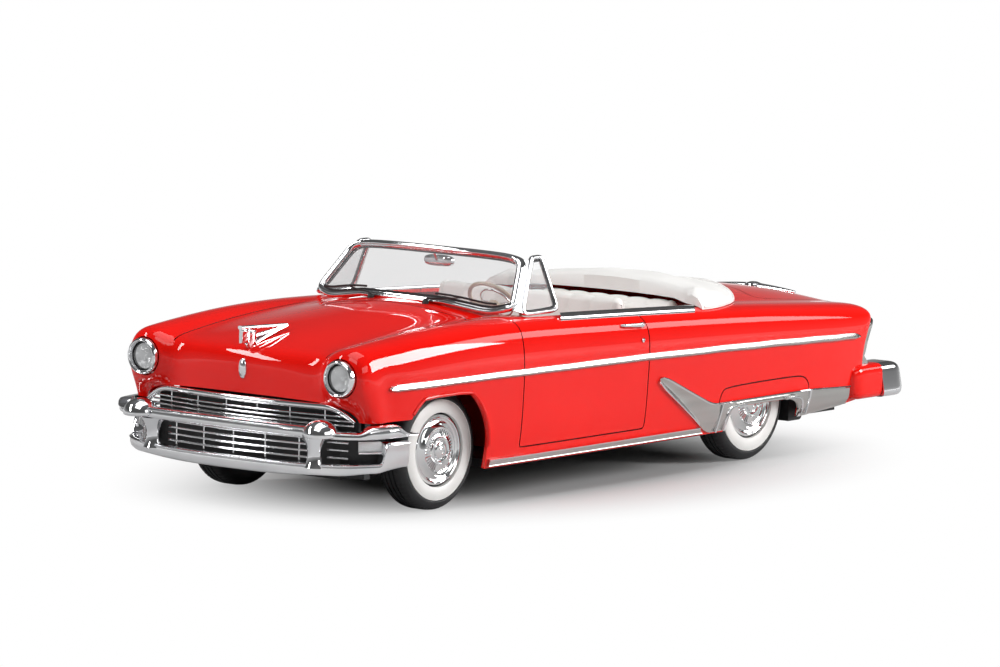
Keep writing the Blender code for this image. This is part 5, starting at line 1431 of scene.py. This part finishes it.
def frontBumper():
    z, rise, panZ, guardX = (frontForm[key] for key in ("bumperZ", "rise", "panZ", "guardX"))
    low, high, wing = z - rise, z + rise, frontForm["wingTop"]
    barLow = ((0.0, low), (1.0, low + 0.1))
    barTop = ((0.0, high), (0.33, high), (0.42, high - 0.5), (0.6, high - 0.5), (0.74, wing), (0.94, wing),
              (1.0, low + 0.5))
    bar = bumperBar(halfWidth + 0.8, 12.4, bumperY, (barLow, barTop), thickness=1.6, low=-1, high=1,
                    steps=240, profile=ridgeProfile, square=4.6)
    panLow = ((0.0, panZ - 1.95), (0.45, panZ - 1.5), (0.75, panZ - 1.1), (1.0, panZ - 0.6))
    panTop = ((0.0, panZ), (0.81, panZ + 0.3), (0.875, low - 0.5), (1.0, low - 0.5))
    pan = bumperBar(halfWidth + 0.1, 10.6, bumperY + 0.5, (panLow, panTop), thickness=1.5, low=-1, high=1,
                    steps=200, profile=panProfile)
    parts = [bar, pan]
    for _, side in sides:
        guard = turned([(guardForm["grow"] * r, h) for r, h in guardForm["dome"]], 48, origin, "Z")
        guard.transform(Matrix.Translation((side * guardX, bumperY + 0.4, z + 0.44)))
        funnel = turned(guardForm["stem"], 40, origin, "Z")
        place = Matrix.Translation((side * (guardX - 1.7), bumperY + 1.2, panZ - 0.5))
        funnel.transform(place @ Matrix.Diagonal((1, guardForm["squash"], 1, 1)))
        parts += [guard, funnel]
    return mixed(*parts)


def lampShadeWall(side):
    # a black wall behind each parking lamp: painted shade in the lamp's recess
    low, high = frontForm["panZ"] - 0.3, frontForm["bumperZ"] - frontForm["rise"] + 0.2
    near, far = sorted((side * 0.5, side * 0.86))
    levels = (((0.0, low), (1.0, low)), ((0.0, high), (1.0, high)))
    return bumperBar(halfWidth - 1.4, 11.0, bumperY + 1.9, levels, thickness=0.8, low=near, high=far,
                     steps=48)


def parkingLamp(side):
    top = frontForm["bumperZ"] - frontForm["rise"] - 0.5
    levels = (((0.0, top - 1.4), (1.0, top - 1.4)), ((0.0, top), (1.0, top)))
    low, high = sorted((side * 0.62, side * 0.79))
    plan = (halfWidth - 0.2, 13.2, bumperY + 0.4)
    lens = bumperBar(*plan, levels, thickness=1.2, low=low, high=high, steps=96,
                     ripple=lambda i: 0.14 * (i % 4 in (1, 2)))
    mirror = bumperBar(*plan, levels, thickness=0.5, low=low, high=high, steps=48)
    edge = []
    for share in shares(32):
        place, out = bumperPlan(low + (high - low) * share, *plan)
        place = place + out * 0.5
        edge.append((place.x, place.y, top - 1.5))
    return lens, mirror, sweep(edge, 0.18, 0.14, *wireSection)


def headlampShapes(side):
    centre = (side * bodyForm["lampX"], noseY, bodyForm["lampZ"])
    r = frontForm["lampRadius"]
    rim = [(r - 0.02, 1.6), (r, -0.5), (r - 0.02, -0.8), (r - 0.12, -1.02), (r - 0.3, -1.12),
           (r - 0.46, -1.06), (r - 0.54, -0.9), (r - 0.58, -0.6), (r - 0.62, -0.1), (r - 0.66, 1.6)]
    seal = [(r - 0.64, 0.3), (r - 0.62, -0.4), (r - 0.7, -0.5), (r - 0.78, -0.38), (r - 0.8, 0.3)]
    glass = r - 0.74
    lens = [(0.0, -1.2), (0.3 * glass, -1.17), (0.55 * glass, -1.06), (0.75 * glass, -0.88),
            (0.9 * glass, -0.65), (glass, -0.36), (glass, -0.16), (0.9 * glass, -0.24),
            (0.5 * glass, -0.74), (0.0, -0.9)]
    bowl = [(0.0, 1.0), (0.4 * glass, 0.9), (0.75 * glass, 0.5), (0.98 * glass, -0.12), (glass + 0.02, -0.12),
            (glass + 0.02, 1.5), (0.0, 1.5)]
    bulb = [(0.0, -0.1), (0.2, -0.04), (0.3, 0.2), (0.24, 0.6), (0.2, 1.05), (0.0, 1.05)]
    return [turned(shape, 64, centre, "Y") for shape in (rim, seal, lens, bowl, bulb)]


dartForm = {
    "tip": noseY - 0.6, "heel": noseY + 9.4, "rootY": noseY + 5.6,
    # start, height at the start and at the heel, half width; one without a start height lies along the hood
    "blades": ((0.0, 1.75, 1.4, 0.42), (2.6, 0.35, 1.2, 0.34), (2.8, None, 0.5, 0.62)),
    "prow": ((0.0, 0.2), (0.08, 0.34), (0.3, 0.5), (0.34, 0.4), (0.55, 0.44), (0.6, 0.54), (0.85, 0.5),
             (1.0, 0.36)),
}


def hoodDart():
    # a faceted prow with an upper blade, one that rises to meet it and one along the hood
    tip, heel = dartForm["tip"], dartForm["heel"]
    base = onTop(0.3, dartForm["rootY"])[0].z
    parts = []
    for start, low, high, wide in dartForm["blades"]:
        path, across, over = [], [], []
        for share in shares(28):
            y = tip + start + (heel - tip - start) * share
            z = onTop(0.2, y)[0].z + 0.15 + 0.4 * share if low is None else base + low + (high - low) * share
            path.append((0, y, z))
            across.append(wide * (1 - 0.6 * share))
            over.append(0.26 - 0.06 * share)
        parts.append(sweep(path, across, over, 3.0, 14))
    rings = []
    for share, wide in dartForm["prow"]:
        y = tip + 0.05 + 3.0 * share
        hood = onTop(0.2, max(y, noseY + 0.9))[0].z - 0.2
        low, high = max(hood, base - 0.45) if share < 0.4 else hood, base + 1.7 - 0.5 * share
        middle = Vector((0, y, 0.5 * (low + high)))
        rings.append(ovalRing(middle, xAxis, zAxis, wide, 0.5 * (high - low), 6.0, 20))
    parts.append(loft(rings))
    return mixed(*parts)


ovalForm = {
    "z": 19.8, "half": 0.66, "tall": 1.42,
    # size, then height over the face
    "profile": ((1.0, -0.3), (1.0, 0.12), (0.93, 0.2), (0.82, 0.16), (0.76, 0.2), (0.5, 0.32), (0.2, 0.37)),
}


def noseOval():
    # a plain boss on the face of the hood
    place = onNose(0.0, ovalForm["z"])[0]
    rings = []
    for grow, out in ovalForm["profile"]:
        half, tall = ovalForm["half"] * grow, ovalForm["tall"] * grow
        rings.append(ovalRing(place - yAxis * out, xAxis, zAxis, half, tall, 2.2, 36))
    return loft(rings)


addPiece("upperGrille", upperGrille(), plate, ["upper_grille"], angle=trimCrease)
addPiece("lowerGrille", lowerGrille(), plate, ["lower_grille"], angle=trimCrease)
# black sheets behind the grilles, the lower one reaching out past the guards: painted shade in the openings
upperShadeSheet = grilleShadeSheet(frontForm["grilleHalf"] - 0.6, low=11.0, high=15.6, back=1.5)
lowerShadeSheet = grilleShadeSheet(frontForm["guardX"] + 1.6, low=7.0, high=12.2, back=0.3)
addPiece("upperGrilleShadeSheet", upperShadeSheet, basePlastic)
addPiece("lowerGrilleShadeSheet", lowerShadeSheet, basePlastic)
addPiece("frontBumper", frontBumper(), plate, ["front_bumper"], angle=trimCrease)
addPiece("hoodDart", hoodDart(), plate, ["hood_ornament"], angle=trimCrease)
addPiece("noseOval", noseOval(), plate, angle=trimCrease)
for tag, side in sides:
    lens, mirror, frameEdge = parkingLamp(side)
    addPiece("parkingLampShadeWall." + tag, lampShadeWall(side), basePlastic)
    addPiece("parkingLampMirror." + tag, mirror, reflector)
    addPiece("parkingLamp." + tag, lens, lampGlass, ["parking_lamp_" + tag], angle=fineCrease)
    addPiece("parkingLampEdge." + tag, frameEdge, plate)
    rim, seal, lens, bowl, bulb = headlampShapes(side)
    addPiece("headlampRim." + tag, rim, plate, ["headlamp_bezel_" + tag])
    addPiece("headlampSeal." + tag, seal, rubber)
    addPiece("headlampLens." + tag, lens, lampGlass, ["headlamp_lens_" + tag])
    addPiece("headlampBowl." + tag, mixed(bowl, bulb), reflector)
print("front end done")

rearForm = {"barHalf": halfWidth - 4.2, "lampLow": sillZ + 6.8, "lampHigh": sillZ + 13.0, "lampRibs": 11}


def rearBumper():
    half = rearForm["barHalf"]
    path = [(half * span, tailY + 2.55 - 1.0 * span ** 2, sillZ + 3.3) for span in spans(60)]
    parts = [sweep(path, 1.2, 1.7, 4.0, 24)]
    for _, side in sides:
        lean = Vector((-0.2 * side, 0, 1))  # the ends lean in at the top
        rings = []
        for share in shares(16):
            shrink = 1.5 * (1 - math.sqrt(max(0.0, 1 - max(0.0, (share - 0.62) / 0.38) ** 2 * 0.98)))
            low, high = sillZ + 1.0 + shrink, sillZ + 6.1 - shrink
            inner, outer = halfWidth - 5.0 + 0.5 * shrink, halfWidth + 0.1 - 0.8 * shrink
            middle = Vector((side * 0.5 * (inner + outer), tailY - 0.15 + 5.7 * share, 0.5 * (low + high)))
            rings.append(ovalRing(middle, xAxis, lean, 0.5 * (outer - inner), 0.5 * (high - low), 6.0, 36))
        parts.append(loft(rings))
    return mixed(*parts)


def rearApron():
    # the painted panel that closes the tail behind the bumper
    half, thick = halfWidth - 4.4, 0.5
    outline = ((0.0, 7.0), (0.05, 5.4), (-0.1, 3.4), (-0.45, 1.8), (-1.1, 0.7))
    rings = []
    for span in spans(40):
        face = tailY - 1.3 - 1.2 * span ** 2
        outside = [(half * span, face + back, sillZ + rise) for back, rise in outline]
        rings.append(outside + [(x, y - thick, z) for x, y, z in outside[::-1]])
    return loft(rings)


def tailPlate(inner, outer, low, high, lift, thickness, ribs=0, fall=0.75):
    rings = []
    for share in shares(66):
        z = low + (high - low) * share
        ease = (1 - abs(2 * share - 1) ** 5) ** 0.5
        middle, half = 0.5 * (inner + outer), 0.5 * (outer - inner) * max(0.12, ease)
        swell = 1 + 0.16 * math.cos(2 * math.pi * ribs * share) if ribs else 1.0
        over, under = [], []
        for across in spans(10):
            place = onTail(middle + half * across, z)[0]
            rise = thickness * swell * (1 - fall * abs(across) ** 3) * max(0.25, ease)
            over.append((place.x, place.y + lift + rise, z))
            under.append((place.x, place.y - 0.15, z))
        rings.append(over + under[::-1])
    return loft(rings)


def tailFoot():
    # the flared foot under each tail lamp
    rings = []
    for i in range(25):
        x = halfWidth - 4.5 + 3.2 * i / 24
        y, rib = onTail(x, sillZ + 7.2)[0].y, 0.08 * (i % 4 in (1, 2))
        outline = ((-0.3, 7.9), (0.45 + rib, 7.9), (0.7 + rib, 7.3), (1.5 + rib, 6.5), (1.5 + rib, 6.2),
                   (-0.3, 6.2))
        rings.append([(x, y + back, sillZ + rise) for back, rise in outline])
    return loft(rings)


wingForm = {
    "y": tailY - 2.6, "start": 1.2, "reach": 6.8, "bossHalf": 1.5, "bossDeep": 1.1,
    # size of the boss, then height over the deck
    "boss": ((1.0, -0.3), (1.0, 0.45), (0.9, 0.62), (0.76, 0.62), (0.68, 0.7), (0.4, 0.86), (0.1, 0.9)),
}


def trunkWings():
    y = wingForm["y"]
    parts = []
    for _, side in sides:
        path, across, over = [], [], []
        for share in shares(24):
            x = wingForm["start"] + wingForm["reach"] * share
            place = onTop(x, y - 0.3 * share)[0]
            path.append((side * x, place.y, place.z + 0.2))
            across.append(0.75 * (1 - 0.75 * share))
            over.append(0.5 * (1 - 0.6 * share))
        parts.append(sweep(path, across, over, 2.4, 14))
    deck = onTop(0.0, y)[0]
    rings = []
    for grow, rise in wingForm["boss"]:
        half, deep = wingForm["bossHalf"] * grow, wingForm["bossDeep"] * grow
        rings.append(ovalRing(deck + zAxis * rise, xAxis, yAxis, half, deep, 2.2, 36))
    parts.append(loft(rings))
    return mixed(*parts)


addPiece("rearBumper", rearBumper(), plate, ["rear_bumper"], angle=trimCrease)
addPiece("rearApron", rearApron(), enamel)
addPiece("trunkWings", trunkWings(), plate, ["trunk_ornament"], angle=trimCrease)
for tag, side in sides:
    inner, outer = halfWidth - 4.7, halfWidth - 1.4
    low, high = rearForm["lampLow"], rearForm["lampHigh"]
    rim = mixed(tailPlate(inner, outer + 0.3, low, high, lift=0.3, thickness=0.6, fall=0.3), tailFoot())
    addPiece("tailLampRim." + tag, sided(rim, side), foil, ["tail_lamp_bezel_" + tag],
             angle=trimCrease)
    lens = tailPlate(inner + 0.5, outer - 0.5, low + 0.8, high - 0.8, lift=0.75, thickness=0.7,
                     ribs=rearForm["lampRibs"])
    addPiece("tailLampLens." + tag, sided(lens, side), redLamp, ["tail_lamp_lens_" + tag],
             angle=trimCrease)
print("rear end done")


def blackBlockBehindWheel():
    # a black block behind each rear wheel, under the body side
    front, rear, low, high, bend = rearY + 9.0, rearY + 12.4, 5.0, sillZ + 2.2, 0.8
    corner = arcLine((rear - bend, low + bend), bend, -90, 0, 8)
    outline = [(front, high), (front, low)] + corner + [(rear, high)]
    return loft([[(x, y, z) for y, z in outline] for x in (halfWidth - 8.6, halfWidth - 2.6)])


for tag, side in sides:
    addPiece("rearWheelBlackBlock." + tag, sided(blackBlockBehindWheel(), side), basePlastic)
for node, finish in (("chassis_base", basePlastic), ("base_screw_front", steel), ("base_screw_rear", steel)):
    coverNode(node, finish)
print("wheel wells and base done")

stageForm = {
    "floorReach": 4.0, "floorZ": -0.02, "floorTone": 0.52, "floorRough": 0.6, "floorStretch": 0.68,
    "seenWhite": (0.019, 0.050), "reflectedWhite": (0.25, 0.7),
    "lamps": (
        # name, place in metres, width along the run, depth, run, watts
        ("topBox", (0.02, -0.04, 0.66), 0.46, 0.60, (1, 0, 0), 1.9),
        ("keyBox", (0.495, 0.408, 0.26), 0.22, 0.28, (0.74, -0.67, 0), 3.7),
        ("spearBox", (0.36, 0.56, 0.252), 0.21, 0.15, (0.74, -0.67, 0), 0.42),
        ("sideBox", (0.68, -0.02, 0.30), 0.50, 0.22, (0, 1, 0), 0.9),
        ("frontBox", (0.10, -0.46, 0.55), 0.40, 0.24, (1, 0, 0), 0.9),
        ("lipStrip", (-0.39, -0.39, 0.35), 0.48, 0.07, (0.07, -0.37, -0.29), 1.6),
    ),
    "lampAim": (0, 0, 0.015),
    # the sky's colour from the horizon down and overhead, and its grey levels in between
    "skyFoot": (0.40, 0.40, 0.40), "skyTop": (0.16, 0.16, 0.17),
    "sky": ((0.10, 0.24), (0.28, 0.07), (0.6, 0.10)),
    # the camera
    "place": (0.59864, -0.75505, 0.13403), "azimuth": 38.554, "elevation": 6.772, "roll": 0.963,
    "lens": 240.25, "sensor": 36.0, "clip": (0.01, 20.0),
}


def makeFloor():
    reach = stageForm["floorReach"] / mm
    corners = ((-reach, -reach), (reach, -reach), (reach, reach), (-reach, reach))
    bm = bmesh.new()
    bm.faces.new([bm.verts.new((x, y, stageForm["floorZ"])) for x, y in corners])
    finish = bpy.data.materials.new("pale_floor")
    finish.use_nodes = True
    tree = finish.node_tree
    shader = tree.nodes["Principled BSDF"]
    shader.inputs["Base Color"].default_value = (*[stageForm["floorTone"]] * 3, 1)
    shader.inputs["Roughness"].default_value = stageForm["floorRough"]
    shader.inputs["Specular IOR Level"].default_value = 0.0
    place = tree.nodes.new("ShaderNodeTexCoord")
    oval = addNode(tree, "ShaderNodeMapping", Scale=(1, stageForm["floorStretch"], 1))
    tree.links.new(place.outputs["Object"], oval.inputs["Vector"])
    away = tree.nodes.new("ShaderNodeVectorMath")
    away.operation = "LENGTH"
    tree.links.new(oval.outputs["Vector"], away.inputs[0])

    def calculate(operation, first, second):
        node = tree.nodes.new("ShaderNodeMath")
        node.operation = operation
        tree.links.new(first, node.inputs[0])
        tree.links.new(second, node.inputs[1])
        return node.outputs["Value"]

    def whiteBeyond(reach):
        fade = addNode(tree, "ShaderNodeMapRange", From_Min=reach[0], From_Max=reach[1])
        fade.interpolation_type = "SMOOTHSTEP"
        tree.links.new(away.outputs["Value"], fade.inputs["Value"])
        return fade.outputs["Result"]

    path = tree.nodes.new("ShaderNodeLightPath")
    seen = calculate("MULTIPLY", path.outputs["Is Camera Ray"], whiteBeyond(stageForm["seenWhite"]))
    other = calculate("MAXIMUM", path.outputs["Is Glossy Ray"], path.outputs["Is Transmission Ray"])
    reflected = calculate("MULTIPLY", other, whiteBeyond(stageForm["reflectedWhite"]))
    share = calculate("MAXIMUM", seen, reflected)
    white = addNode(tree, "ShaderNodeEmission", Color=(1, 1, 1, 1), Strength=1.0)
    mix = tree.nodes.new("ShaderNodeMixShader")
    tree.links.new(share, mix.inputs["Fac"])
    tree.links.new(shader.outputs["BSDF"], mix.inputs[1])
    tree.links.new(white.outputs["Emission"], mix.inputs[2])
    tree.links.new(mix.outputs["Shader"], tree.nodes["Material Output"].inputs["Surface"])
    floor = meshObject("studioFloor", bm, finish)


def makeLamps():
    for name, place, width, depth, run, watts in stageForm["lamps"]:
        lamp = bpy.data.lights.new(name, "AREA")
        lamp.shape = "RECTANGLE"
        lamp.size, lamp.size_y, lamp.energy = width, depth, watts
        back = (Vector(place) - Vector(stageForm["lampAim"])).normalized()  # every lamp faces the car
        across = (Vector(run) - back * back.dot(Vector(run))).normalized()
        stand = bpy.data.objects.new(name, lamp)
        turn = Matrix((across, back.cross(across), back)).transposed().to_4x4()
        stand.matrix_world = Matrix.Translation(place) @ turn
        scene.collection.objects.link(stand)


def makeSky():
    sky = bpy.data.worlds.new("studio")
    scene.world = sky
    sky.use_nodes = True
    tree = sky.node_tree
    place = tree.nodes.new("ShaderNodeTexCoord")
    split = tree.nodes.new("ShaderNodeSeparateXYZ")
    ramp = tree.nodes.new("ShaderNodeValToRGB")
    stops = ramp.color_ramp.elements
    stops[0].position, stops[0].color = 0.0, (*stageForm["skyFoot"], 1)
    stops[1].position, stops[1].color = 1.0, (*stageForm["skyTop"], 1)
    for at, level in stageForm["sky"]:
        stop = stops.new(at)
        stop.color = (level, level, level, 1)
    tree.links.new(place.outputs["Generated"], split.inputs["Vector"])
    tree.links.new(split.outputs["Z"], ramp.inputs["Fac"])
    tree.links.new(ramp.outputs["Color"], tree.nodes["Background"].inputs["Color"])


def makeCamera():
    a, e, roll = (math.radians(stageForm[key]) for key in ("azimuth", "elevation", "roll"))
    back = Vector((math.sin(a) * math.cos(e), -math.cos(a) * math.cos(e), math.sin(e)))
    right = Vector((math.cos(a), math.sin(a), 0))
    up = back.cross(right)
    turnedRight = right * math.cos(roll) + up * math.sin(roll)
    turnedUp = up * math.cos(roll) - right * math.sin(roll)
    lens = bpy.data.cameras.new("photoCamera")
    lens.lens, lens.sensor_width = stageForm["lens"], stageForm["sensor"]
    lens.clip_start, lens.clip_end = stageForm["clip"]
    camera = bpy.data.objects.new("photoCamera", lens)
    place = Matrix((turnedRight, turnedUp, back)).transposed().to_4x4()
    place.translation = Vector(stageForm["place"])
    camera.matrix_world = place
    scene.collection.objects.link(camera)
    scene.camera = camera


makeFloor()
makeLamps()
makeSky()
makeCamera()
scene.view_settings.view_transform = "Standard"
print("stage done")
